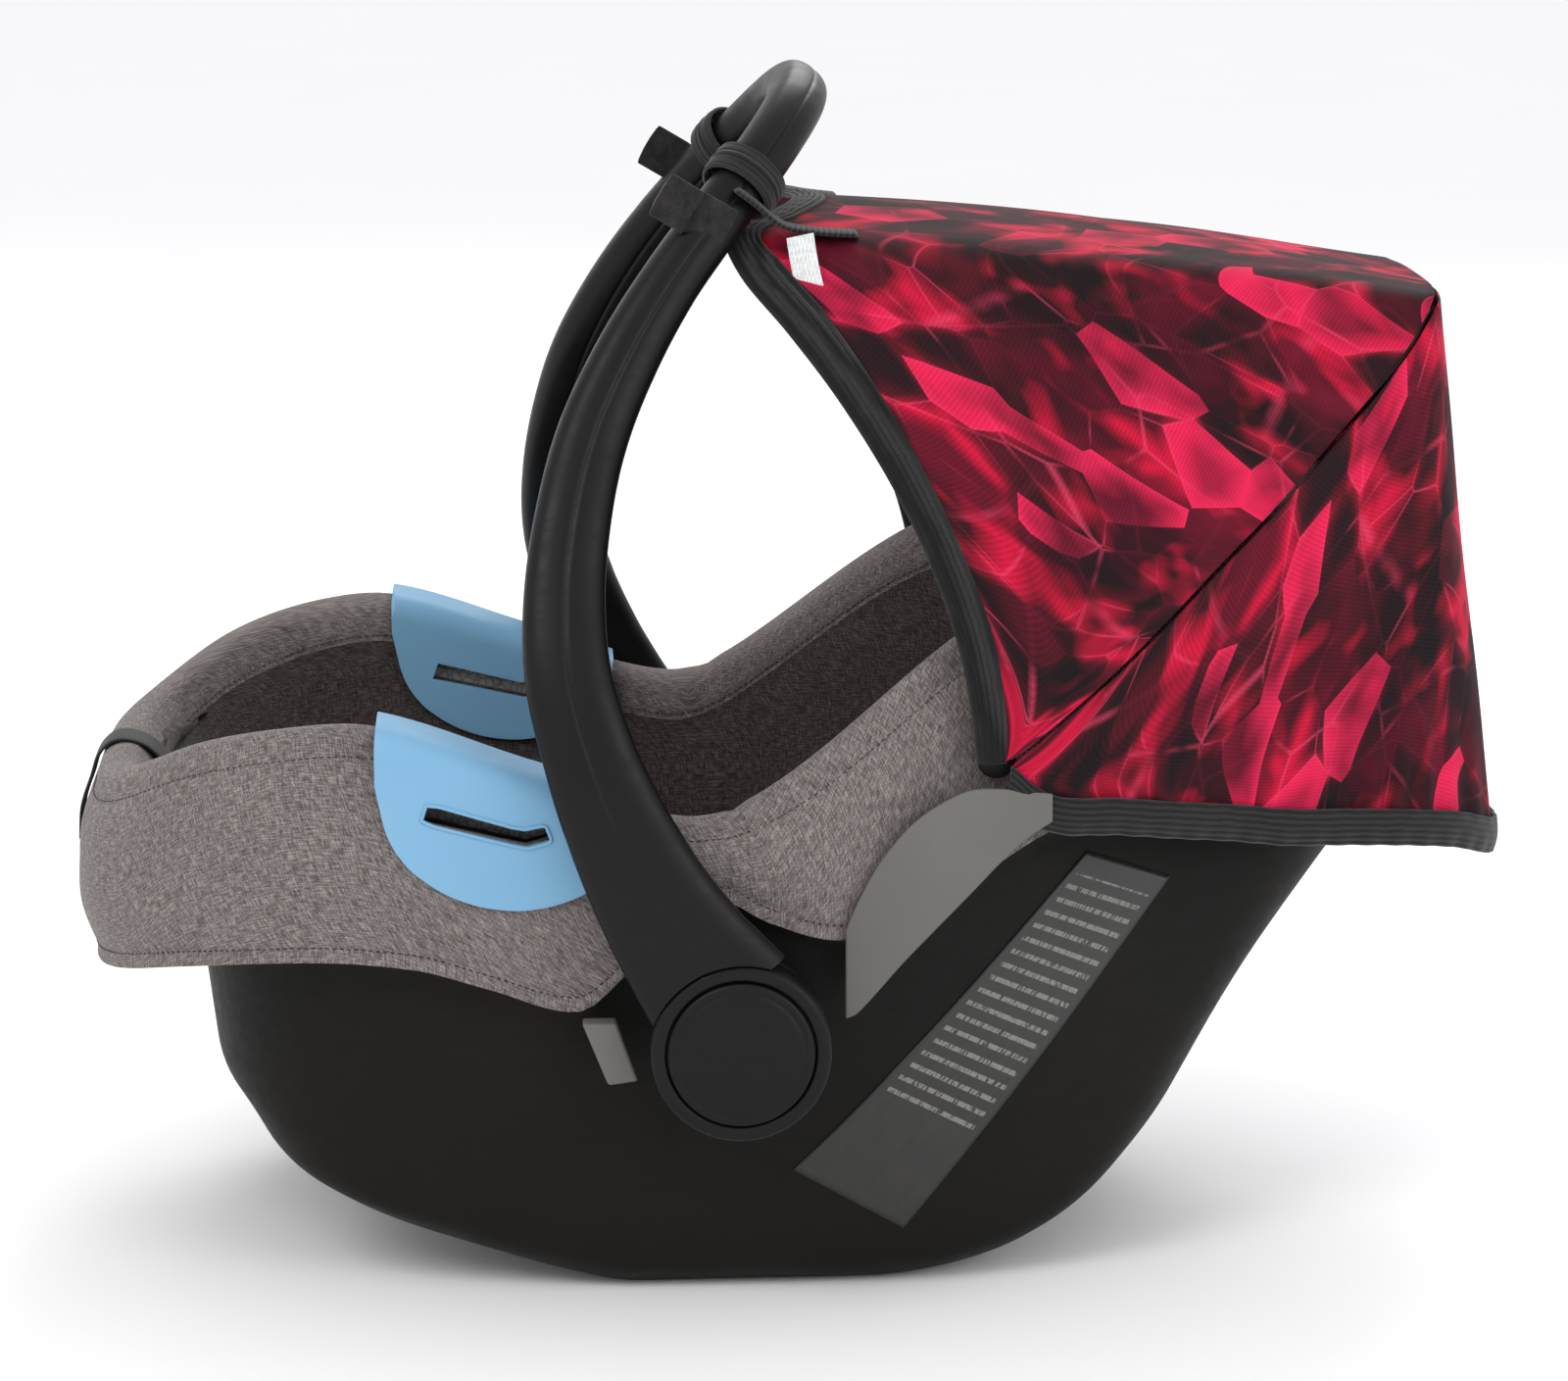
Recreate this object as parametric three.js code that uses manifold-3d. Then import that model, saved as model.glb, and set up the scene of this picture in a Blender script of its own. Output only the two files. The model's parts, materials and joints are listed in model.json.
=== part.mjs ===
// Infant carrier: rear-facing infant car seat with a swinging carry handle and a folding canopy.
// Units are millimetres. +Z is up, -Y is the foot end, +Y is the head end, X is across.
// The model is drawn about the handle's pivot axis (Y = 0) and moved along Y at the end,
// so that the origin lies under the middle of the whole object.

import * as THREE from 'three';
import { mergeVertices } from 'three/addons/utils/BufferGeometryUtils.js';
import Module from 'manifold-3d';

const wasm = await Module();
wasm.setup();

// ---------------------------------------------------------------- driving dimensions

const FORE_AFT_SHIFT = -31.16;       // moves the pivot axis behind the middle of the object
const HUB_Z = 136;                    // height of the handle's pivot axis
const HUB_OUT = 222;                  // outer face of the handle hub, from the middle plane
const HUB_RADIUS = 42;
const CAP_RADIUS = 34;
const SHELL_WALL = 4;
const COVER_THICK = 3;
const GAP = 0.6;                      // clearance between neighbouring pieces
const AROUND = 48;                    // points round the bucket
const CANOPY_PIVOT = { y: 122, z: 261 };
const FABRIC = 2.4;                   // thickness of canopy cloth
const BOW_RADIUS = 3;
const FOOT_BOXY = 3.8;                // squareness of the bucket's plan outline at the foot end
const HEAD_BOXY = 2.8;                // and at the head end
const WING_WALL = { front: -310, rear: 362, half: 181 };   // widest outline of the wings
const SEAT_WALL = { front: -286, rear: 296, half: 150 };   // outline of the seat's inner wall

// Heights along the length, as [y, z] points joined by smooth curves.
const crestHeight = profile([
  [-306, 236], [-291, 243], [-250, 266], [-204, 278], [-165, 279], [-94, 256],
  [-23, 236], [13, 248], [101, 314], [150, 337], [200, 350], [260, 361], [312, 366],
]);
const rockerCurve = profile([
  [-226, 53], [-182, 37], [-127, 20], [-85, 7], [-50, 0], [70, 0], [110, 5], [150, 16], [200, 40],
]);
const rockerHeight = (y) => (y > -50 && y < 70 ? 0 : rockerCurve(y));
const midHeight = profile([[-245, 96], [0, 100], [160, 108], [250, 132]]);
const flangeHeight = profile([
  [-306, 150], [-258, 165], [-202, 174], [-150, 172], [-116, 163], [-74, 152], [-54, 168],
  [-30, 195], [-8, 205], [14, 194], [49, 184], [90, 196], [150, 226], [205, 236], [366, 236],
]);
const floorHeight = profile([
  [-292, 216], [-235, 165], [-150, 108], [-80, 80], [-20, 92], [40, 130], [100, 172],
  [200, 250], [285, 322], [304, 352],
]);

// ---------------------------------------------------------------- colours

const INK = 0x1c1a16;
const BLACK = 0x171513;
const CLOTH_GREY = 0x736764;
const LINING = 0x3c3230;
const PALE_BLUE = 0x82b2d1;
const MID_GREY = 0x62605f;
const CRIMSON = 0x8c1632;
const ELASTIC = 0x121012;
const FOAM_WHITE = 0xe4e2dc;
const STEEL = 0x9a9a98;
const LABEL_FILM = 0x26231f;
const RED = 0xb4201c;

const OUTLINE_ANGLES = evenAngles(306, 178);
const carrier = new THREE.Group();

function piece(name, geometry, color, roughness = 0.7, metalness = 0) {
  const material = new THREE.MeshStandardMaterial({ color, roughness, metalness });
  const mesh = new THREE.Mesh(geometry, material);
  mesh.name = name;
  carrier.add(mesh);
  return mesh;
}

// ---------------------------------------------------------------- curves and sheets

// A smooth height curve through [y, z] points, level beyond its ends.
function profile(points) {
  const slope = points.map((point, i) => {
    const before = points[Math.max(i - 1, 0)];
    const after = points[Math.min(i + 1, points.length - 1)];
    return (after[1] - before[1]) / (after[0] - before[0]);
  });
  return (y) => {
    const last = points.length - 1;
    if (y <= points[0][0]) return points[0][1];
    if (y >= points[last][0]) return points[last][1];
    const i = points.findIndex((point) => point[0] > y) - 1;
    const span = points[i + 1][0] - points[i][0];
    const t = (y - points[i][0]) / span;
    const ease = t * t * (3 - 2 * t);
    const early = t * (1 - t) * (1 - t) * span * slope[i];
    const late = t * t * (t - 1) * span * slope[i + 1];
    return points[i][1] * (1 - ease) + points[i + 1][1] * ease + early + late;
  };
}

function smooth(t) {
  const c = Math.min(Math.max(t, 0), 1);
  return c * c * (3 - 2 * c);
}

function signedPower(value, power) {
  return Math.sign(value) * Math.abs(value) ** power;
}

// Share of the full width that is left at a place along the length.
function narrowing(y) {
  return 1 - 0.32 * smooth((y - 20) / 200) - 0.1 * smooth((-y - 200) / 110);
}

function boxyAt(along) {
  return along < 0 ? FOOT_BOXY : HEAD_BOXY;
}

// Half-width of one plan outline at a place along the length.
function halfAt({ front, rear, half }, y) {
  const along = (y - (front + rear) / 2) / ((rear - front) / 2);
  const boxy = boxyAt(along);
  return half * narrowing(y) * (1 - Math.min(Math.abs(along), 1) ** boxy) ** (1 / boxy);
}

// Angles that space the points of a bucket outline evenly along its edge.
function evenAngles(reach, half) {
  const fine = 1440;
  const lengths = [0];
  const spot = (k) => {
    const angle = (k / fine) * 2 * Math.PI;
    const power = 2 / boxyAt(Math.sin(angle));
    return [half * signedPower(Math.cos(angle), power), reach * signedPower(Math.sin(angle), power)];
  };
  for (let k = 1; k <= fine; k += 1) {
    const [x1, y1] = spot(k - 1);
    const [x2, y2] = spot(k);
    lengths.push(lengths[k - 1] + Math.hypot(x2 - x1, y2 - y1));
  }
  return Array.from({ length: AROUND }, (_, i) => {
    const target = (i / AROUND) * lengths[fine];
    return (lengths.findIndex((length) => length >= target) / fine) * 2 * Math.PI;
  });
}

// One closed plan outline of the bucket: boxy at the foot end, narrowing to the head end.
// square overrides the boxiness of both ends, taper is the share of the narrowing that is kept.
function ring({ front, rear, half, height, grow = 0, lift = 0, square = 0, taper = 1 }) {
  const middle = (front + rear) / 2;
  const reach = (rear - front) / 2 + grow;
  const points = [];
  for (const angle of OUTLINE_ANGLES) {
    const boxy = square || boxyAt(Math.sin(angle));
    const y = middle + reach * signedPower(Math.sin(angle), 2 / boxy);
    const narrowed = 1 - taper * (1 - narrowing(y));
    const x = (half * narrowed + grow) * signedPower(Math.cos(angle), 2 / boxy);
    points.push(new THREE.Vector3(x, y, height(y) + lift));
  }
  return points;
}

// Geometry from points and faces, with shared points merged.
function body(points, faces) {
  const geometry = new THREE.BufferGeometry();
  geometry.setAttribute('position', new THREE.Float32BufferAttribute(points.flatMap((p) => [p.x, p.y, p.z]), 3));
  geometry.setIndex(faces.flat());
  const merged = mergeVertices(geometry, 1e-4);
  return signedVolume(merged) < 0 ? flipped(merged) : merged;
}

function signedVolume(geometry) {
  const position = geometry.attributes.position;
  const index = geometry.index.array;
  const [a, b, c] = [new THREE.Vector3(), new THREE.Vector3(), new THREE.Vector3()];
  let volume = 0;
  for (let i = 0; i < index.length; i += 3) {
    a.fromBufferAttribute(position, index[i]);
    b.fromBufferAttribute(position, index[i + 1]);
    c.fromBufferAttribute(position, index[i + 2]);
    volume += a.dot(b.cross(c)) / 6;
  }
  return volume;
}

function flipped(geometry) {
  const index = Array.from(geometry.index.array);
  for (let i = 0; i < index.length; i += 3) {
    [index[i + 1], index[i + 2]] = [index[i + 2], index[i + 1]];
  }
  geometry.setIndex(index);
  return geometry;
}

// A bowl between two stacks of closed outlines that share their last edge by a rim strip.
function bowl(outer, outerPole, inner, innerPole) {
  const points = [...outer.flat(), ...inner.flat(), outerPole, innerPole];
  const innerStart = outer.length * AROUND;
  const poleAt = points.length - 2;
  const faces = [];
  const next = (i) => (i + 1) % AROUND;
  const wall = (start, count, out) => {
    for (let level = 0; level < count - 1; level += 1) {
      for (let i = 0; i < AROUND; i += 1) {
        const a = start + level * AROUND + i;
        const b = start + level * AROUND + next(i);
        const [c, d] = [b + AROUND, a + AROUND];
        faces.push(out ? [a, b, c, a, c, d] : [a, c, b, a, d, c]);
      }
    }
  };
  wall(0, outer.length, true);
  wall(innerStart, inner.length, false);
  for (let i = 0; i < AROUND; i += 1) {
    faces.push([poleAt, next(i), i]);
    faces.push([poleAt + 1, innerStart + i, innerStart + next(i)]);
    const a = (outer.length - 1) * AROUND + i;
    const b = (outer.length - 1) * AROUND + next(i);
    const c = innerStart + (inner.length - 1) * AROUND + next(i);
    const d = innerStart + (inner.length - 1) * AROUND + i;
    faces.push([a, b, c, a, c, d]);
  }
  return body(points, faces);
}

// Moves a stack of closed outlines along its own surface normals.
function offsetRings(rings, distance) {
  return rings.map((points, level) => points.map((point, i) => {
    const up = rings[Math.min(level + 1, rings.length - 1)][i].clone();
    up.sub(rings[Math.max(level - 1, 0)][i]);
    const along = points[(i + 1) % AROUND].clone().sub(points[(i + AROUND - 1) % AROUND]);
    const normal = along.cross(up).normalize();
    return point.clone().addScaledVector(normal, distance);
  }));
}

// A closed sheet: surface(u, v) gives its underside, thickness runs along the surface normal.
function sheet(surface, thickness, uSteps, vSteps) {
  const under = [];
  const over = [];
  const small = 1e-3;
  for (let i = 0; i <= uSteps; i += 1) {
    for (let j = 0; j <= vSteps; j += 1) {
      const [u, v] = [i / uSteps, j / vSteps];
      const alongU = surface(Math.min(u + small, 1), v).sub(surface(Math.max(u - small, 0), v));
      const alongV = surface(u, Math.min(v + small, 1)).sub(surface(u, Math.max(v - small, 0)));
      const normal = alongU.cross(alongV).normalize();
      const depth = typeof thickness === 'function' ? thickness(u, v) : thickness;
      under.push(surface(u, v));
      over.push(surface(u, v).addScaledVector(normal, depth));
    }
  }
  const row = vSteps + 1;
  const shift = under.length;
  const faces = [];
  for (let i = 0; i < uSteps; i += 1) {
    for (let j = 0; j < vSteps; j += 1) {
      const a = i * row + j;
      faces.push([a, a + row + 1, a + row, a, a + 1, a + row + 1]);
      faces.push([a, a + row, a + row + 1, a, a + row + 1, a + 1].map((k) => k + shift));
    }
  }
  const edge = [];
  for (let i = 0; i < uSteps; i += 1) edge.push([i * row, (i + 1) * row]);
  for (let j = 0; j < vSteps; j += 1) edge.push([uSteps * row + j, uSteps * row + j + 1]);
  for (let i = uSteps; i > 0; i -= 1) edge.push([i * row + vSteps, (i - 1) * row + vSteps]);
  for (let j = vSteps; j > 0; j -= 1) edge.push([j, j - 1]);
  edge.forEach(([a, b]) => faces.push([a, b, b + shift, a, b + shift, a + shift]));
  return body([...under, ...over], faces);
}

// A closed solid through a list of outlines, each a list of the same number of points.
function loft(outlines) {
  const count = outlines[0].length;
  const points = outlines.flat();
  const faces = [];
  for (let k = 0; k < outlines.length - 1; k += 1) {
    for (let i = 0; i < count; i += 1) {
      const a = k * count + i;
      const b = k * count + (i + 1) % count;
      faces.push([a, b, b + count, a, b + count, a + count]);
    }
  }
  const last = (outlines.length - 1) * count;
  for (let i = 1; i < count - 1; i += 1) {
    faces.push([0, i + 1, i]);
    faces.push([last, last + i, last + i + 1]);
  }
  return body(points, faces);
}

// ---------------------------------------------------------------- joining and cutting

function solid(geometry) {
  const plain = geometry.clone();
  plain.deleteAttribute('normal');
  plain.deleteAttribute('uv');
  const merged = mergeVertices(plain, 1e-4);
  const vertProperties = Float32Array.from(merged.attributes.position.array);
  const triVerts = Uint32Array.from(merged.index.array);
  return new wasm.Manifold(new wasm.Mesh({ numProp: 3, vertProperties, triVerts }));
}

function geometryOf(manifold) {
  const mesh = manifold.getMesh();
  const geometry = new THREE.BufferGeometry();
  geometry.setAttribute('position', new THREE.BufferAttribute(mesh.vertProperties, 3));
  geometry.setIndex(new THREE.BufferAttribute(mesh.triVerts, 1));
  return geometry;
}

function cut(geometry, ...tools) {
  return geometryOf(tools.map(solid).reduce((whole, tool) => whole.subtract(tool), solid(geometry)));
}

// ---------------------------------------------------------------- simple shapes

function block(x, y, z, width, depth, height) {
  return new THREE.BoxGeometry(width, depth, height).translate(x, y, z);
}

// A round disc or pin along X, from one X to another.
function discX(fromX, toX, y, z, radius, sides = 32) {
  const geometry = new THREE.CylinderGeometry(radius, radius, Math.abs(toX - fromX), sides);
  return geometry.rotateZ(Math.PI / 2).translate((fromX + toX) / 2, y, z);
}

// A flat plate drawn in the side view from [y, z] points, from one X to another.
function plateX(points, fromX, toX, holes = []) {
  const outline = new THREE.Shape(points.map(([y, z]) => new THREE.Vector2(y, z)));
  outline.holes = holes.map((hole) => new THREE.Path(hole.map(([y, z]) => new THREE.Vector2(y, z))));
  const depth = Math.abs(toX - fromX);
  const geometry = new THREE.ExtrudeGeometry(outline, { depth, bevelEnabled: false });
  geometry.rotateX(Math.PI / 2);
  geometry.rotateZ(Math.PI / 2);
  return geometry.translate(Math.min(fromX, toX), 0, 0);
}

// The same shape on the other side of the middle plane.
function mirrored(geometry) {
  const copy = geometry.index ? geometry.clone() : mergeVertices(geometry, 1e-4);
  copy.scale(-1, 1, 1);
  return flipped(copy);
}

// Adds a piece on the right and its mirror image on the left.
function pair(name, geometry, ...look) {
  piece(`${name}_right`, geometry, ...look);
  piece(`${name}_left`, mirrored(geometry), ...look);
}

// ---------------------------------------------------------------- shell, foam and cover

// The shell's outer surface, from the flat of its base up to its rim.
function shellRings() {
  const rim = (y) => crestHeight(y) - 5;
  const flangeTop = (share) => (y) => flangeHeight(y) + share * (rim(y) - flangeHeight(y));
  const underFlange = (y) => flangeHeight(y) - 7 - 30 * smooth((y - 120) / 200);
  return [
    ring({ front: -52, rear: 72, half: 112, height: () => 0 }),
    ring({ front: -196, rear: 158, half: 138, height: rockerHeight, square: 6, taper: 0.15 }),
    ring({ front: -223, rear: 188, half: 151, height: (y) => rockerHeight(y) + 9, square: 6, taper: 0.2 }),
    ring({ front: -235, rear: 212, half: 157, height: (y) => rockerHeight(y) + 27, square: 5.5, taper: 0.3 }),
    ring({ front: -249, rear: 252, half: 164, height: midHeight, square: 4.4, taper: 0.55 }),
    ring({ front: -258, rear: 312, half: 169, height: underFlange }),
    ring({ front: -304, rear: 358, half: 180, height: flangeHeight }),
    ring({ ...WING_WALL, height: flangeTop(0.3) }),
    ring({ front: -310, rear: 346, half: 178, height: flangeTop(0.75) }),
    ring({ front: -302, rear: 312, half: 172, height: rim }),
  ];
}

// The seat's inner surface, from its floor up to the rim.
function seatRings(options = {}) {
  const wallHeight = (share) => (y) => floorHeight(y) + share * (crestHeight(y) - 8 - floorHeight(y));
  return [
    ring({ front: -105, rear: 0, half: 34, height: floorHeight, ...options }),
    ring({ front: -150, rear: 60, half: 64, height: floorHeight, ...options }),
    ring({ front: -200, rear: 150, half: 92, height: floorHeight, ...options }),
    ring({ front: -240, rear: 250, half: 112, height: floorHeight, ...options }),
    ring({ front: -268, rear: 284, half: 136, height: wallHeight(0.25), ...options }),
    ring({ ...SEAT_WALL, height: wallHeight(0.7), ...options }),
    ring({ front: -292, rear: 302, half: 158, height: wallHeight(1), ...options }),
  ];
}

const seatPole = new THREE.Vector3(0, -60, floorHeight(-60));
const basePole = new THREE.Vector3(0, 10, 0);

function shiftedUp(point, distance) {
  return new THREE.Vector3(point.x, point.y, point.z + distance);
}

function shellBowl() {
  const outer = shellRings();
  const inner = offsetRings(outer, -SHELL_WALL);
  return bowl(outer, basePole, inner, shiftedUp(basePole, SHELL_WALL));
}

const shellGeometry = shellBowl();

// The foam liner is thick under the seat floor and thin up the walls.
function addFoam() {
  const inner = seatRings();
  const depths = [22, 22, 22, 16, 7, 5, 5];
  const outer = depths.map((depth, level) => offsetRings(inner, depth)[level]);
  piece('foam_liner', bowl(outer, shiftedUp(seatPole, -22), inner, seatPole), FOAM_WHITE, 0.95);
}

// One cloth cover: over the seat floor, up the walls, over the rim and down to the hem.
function addCover() {
  const lining = seatRings({ grow: -GAP, lift: GAP });
  const over = [
    ring({ front: -296, rear: 306, half: 163, height: (y) => crestHeight(y) - 2.8 }),
    ring({ front: -304, rear: 314, half: 174.5, height: (y) => crestHeight(y) - 3 }),
  ];
  const wall = shellRings().slice(6, 9).reverse();
  const down = offsetRings(wall, -GAP - 1.5);
  const hem = down[2].map((point) => shiftedUp(point, -4));
  const under = [...lining, ...over, ...down, hem];
  const surface = offsetRings(under, -COVER_THICK);
  piece('seat_cover', bowl(under, shiftedUp(seatPole, GAP), surface,
    shiftedUp(seatPole, GAP + COVER_THICK)), CLOTH_GREY, 0.95);
}

// ---------------------------------------------------------------- padding inside the seat

// A crowned pad lying on the seat floor between two lengths and two widths.
function floorPad({ from, to, halfFrom, halfTo, base, crown, across = 0, steps = [10, 6] }) {
  const surface = (u, v) => {
    const y = from + (to - from) * u;
    const half = halfFrom + (halfTo - halfFrom) * u;
    const x = across + half * (2 * v - 1);
    return new THREE.Vector3(x, y, floorHeight(y) + base);
  };
  const thickness = (u, v) => {
    const edgeU = Math.sin(Math.PI * u) ** 0.4;
    const edgeV = Math.sin(Math.PI * v) ** 0.4;
    return -(3 + crown * edgeU * edgeV);
  };
  return sheet(surface, thickness, steps[0], steps[1]);
}

function addPads() {
  const base = GAP + COVER_THICK + 5;
  piece('seat_cushion', floorPad({
    from: -192, to: -62, halfFrom: 84, halfTo: 92, base, crown: 12,
  }), LINING, 0.95);
  piece('back_cushion', floorPad({
    from: -28, to: 150, halfFrom: 88, halfTo: 78, base, crown: 12,
  }), LINING, 0.95);
  piece('head_cushion', floorPad({
    from: 158, to: 232, halfFrom: 62, halfTo: 50, base: base + 3, crown: 14, steps: [8, 6],
  }), LINING, 0.95);
}

// ---------------------------------------------------------------- harness

const STRAP = 2;                      // webbing thickness

// A flat strap whose underside runs through the given points, its width held along one axis.
function strap(points, wide, steps, { thick = STRAP, across = [1, 0, 0] } = {}) {
  const path = new THREE.CatmullRomCurve3(points.map(([x, y, z]) => new THREE.Vector3(x, y, z)));
  const side = new THREE.Vector3(...across);
  const surface = (u, v) => path.getPoint(u).addScaledVector(side, wide * (v - 0.5));
  return sheet(surface, thick, steps, 1);
}

// A point over the seat floor.
function overFloor(x, y, height) {
  return [x, y, floorHeight(y) + height];
}

function addHarness() {
  const buckleY = -112;
  const buckleZ = floorHeight(buckleY) + 50;
  pair('shoulder_strap', strap([
    overFloor(48, 148, 28), overFloor(46, 110, 32), overFloor(40, 50, 36), overFloor(32, -10, 46),
    [26, -60, buckleZ + 4], [22, -87, buckleZ + 3],
  ], 30, 12), BLACK, 0.85);
  pair('shoulder_pad', strap([
    overFloor(46, 118, 36), overFloor(40, 50, 41), overFloor(33, 0, 49), overFloor(30, -30, 58),
  ], 46, 8, { thick: 9 }), BLACK, 0.9);
  pair('hip_strap', strap([
    [39, -106, buckleZ + 1], overFloor(52, -103, 44), overFloor(70, -98, 38), overFloor(84, -94, 31),
  ], 22, 6, { across: [0, 1, 0] }), BLACK, 0.85);
  piece('crotch_strap', strap([
    [0, -133, buckleZ - 5], [0, -140, buckleZ - 7], overFloor(0, -147, 31), overFloor(0, -151, 27),
  ], 30, 6), BLACK, 0.85);
  piece('crotch_pad', strap([
    [0, -134, buckleZ + 6], [0, -146, buckleZ + 2], overFloor(0, -158, 36), overFloor(0, -167, 30),
  ], 48, 6, { thick: 6 }), BLACK, 0.9);

  const buckleCase = block(0, buckleY, buckleZ, 40, 40, 16);
  const buttonWell = block(0, buckleY - 2, buckleZ + 7, 22, 22, 8);
  piece('buckle_body', cut(buckleCase, buttonWell), BLACK, 0.45);
  piece('buckle_button', block(0, buckleY - 2, buckleZ + 8, 21, 21, 6), RED, 0.4);
  pair('buckle_tongue', block(29, buckleY + 6, buckleZ + 1, 16, 26, 4), STEEL, 0.3, 0.9);
  piece('adjuster_strap', strap([
    overFloor(0, -222, 8), overFloor(0, -246, 13), [0, -272, 226], [0, -292, 241],
    [0, -310, 242], [0, -320, 226], [0, -322, 196],
  ], 26, 16), ELASTIC, 0.85);
}

// ---------------------------------------------------------------- plastic parts on the wings

// A belt guide: one moulding that saddles the wing, with a hooked slot through both its walls.
function beltGuide() {
  const outerFoot = profile([
    [-167, 256], [-162, 234], [-154, 220], [-144, 211], [-132, 204], [-116, 199], [-96, 198], [-74, 204], [-52, 218],
  ]);
  const surface = (u, v) => {
    const y = -167 + 115 * u;
    const top = crestHeight(y) + 1.2;
    const foot = outerFoot(y);
    const outerX = halfAt(WING_WALL, y) + 5.4;
    const innerX = halfAt(SEAT_WALL, y) - 5.2;
    if (v < 0.4) return new THREE.Vector3(outerX, y, foot + (top - foot) * (v / 0.4));
    if (v < 0.6) return new THREE.Vector3(outerX + (innerX - outerX) * ((v - 0.4) / 0.2), y, top);
    return new THREE.Vector3(innerX, y, top + (foot + 8 - top) * ((v - 0.6) / 0.4));
  };
  const slot = [[-143, 240.4], [-141, 246.6], [-100, 235.6], [-89, 237.4], [-87, 231.6], [-98, 228.8]];
  return cut(sheet(surface, 3.2, 9, 10), plateX(slot, 110, 210));
}

function addSideParts() {
  pair('belt_guide', beltGuide(), PALE_BLUE, 0.45);
  pair('trim_panel', trimPanel(), MID_GREY, 0.5);
  const button = [[-73, 145], [-57, 145], [-47, 117], [-61, 115]];
  pair('release_button', plateX(button, 184, 196), MID_GREY, 0.45);
  pair('button_spring', discX(173.5, 183.4, -60, 131, 4, 12), STEEL, 0.3, 0.9);
  const film = [[27, 62], [80, 30], [212, 190], [170, 206]];
  pair('label', labelFilm(film), LABEL_FILM, 0.5);
}

// A thin film laid 0.4 mm off the shell wall, drawn by its corners in the side view.
function labelFilm([[y0, z0], [y1, z1], [y2, z2], [y3, z3]]) {
  const corner = (u, v) => [
    (1 - u) * ((1 - v) * y0 + v * y1) + u * ((1 - v) * y3 + v * y2),
    (1 - u) * ((1 - v) * z0 + v * z1) + u * ((1 - v) * z3 + v * z2),
  ];
  const surface = (u, v) => {
    const [y, z] = corner(u, v);
    return new THREE.Vector3(wallX(y, z) + 2.4, y, z);
  };
  return sheet(surface, -0.4, 8, 5);
}

// Half-width of the shell's wall at one place in the side view.
function wallX(y, z) {
  const ray = new THREE.Ray(new THREE.Vector3(300, y, z), new THREE.Vector3(-1, 0, 0));
  const { position } = shellGeometry.attributes;
  const index = shellGeometry.index.array;
  let best = 0;
  for (let i = 0; i < index.length; i += 3) {
    const [a, b, c] = [0, 1, 2].map((k) => new THREE.Vector3().fromBufferAttribute(position, index[i + k]));
    const hit = ray.intersectTriangle(a, b, c, false, new THREE.Vector3());
    if (hit && hit.x > best) best = hit.x;
  }
  return best;
}

// The crescent panel that covers the shell's side behind the hub.
function trimPanel() {
  const lower = profile([[50, 143], [56, 146], [80, 173], [108, 201], [132, 224], [150, 236]]);
  const upper = profile([[50, 186], [56, 200], [66, 218], [81, 236], [98, 247], [112, 251], [150, 247]]);
  return sheet((u, v) => {
    const y = 50 + 97 * u;
    const x = 184.4 - 9.5 * smooth((y - 75) / 68);
    return new THREE.Vector3(x, y, lower(y) + (upper(y) - lower(y)) * v);
  }, 2.4, 10, 2);
}

// ---------------------------------------------------------------- handle and its hubs

// Half of the handle's middle line, from the right hub up to the grip.
const ARM_LINE = [
  [211, -8, 160], [210, -24, 182], [209, -40, 208], [206.5, -57, 243], [202, -69, 275],
  [192, -78, 310], [176, -79, 345], [157, -73, 385], [141, -64, 415], [126, -48, 448],
  [112, -29, 478], [96, -7, 506], [72, 17, 534], [42, 32, 552],
];
const ARM_DEPTH = [70, 62, 55, 48, 43, 40, 37.5, 35, 33.5, 31, 28.5, 27.5, 27, 27];
const ARM_THICK = [21, 21, 21, 21, 21.5, 22, 22.5, 23.5, 24.5, 25.5, 26, 26.5, 27, 27];
const GRIP_TOP = [0, 37, 558];
const HANDLE_STEPS = 44;

function handlePath() {
  const right = ARM_LINE.map((p) => new THREE.Vector3(...p));
  const left = ARM_LINE.map(([x, y, z]) => new THREE.Vector3(-x, y, z)).reverse();
  return new THREE.CatmullRomCurve3([...right, new THREE.Vector3(...GRIP_TOP), ...left]);
}

// Value along one arm, read at a place on the whole handle, from 0 at one hub to 1 at the other.
function armValue(list, t) {
  const along = (1 - Math.abs(2 * t - 1)) * list.length;
  const i = Math.min(Math.floor(along), list.length - 1);
  const j = Math.min(i + 1, list.length - 1);
  return list[i] + (list[j] - list[i]) * Math.min(along - i, 1);
}

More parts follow.
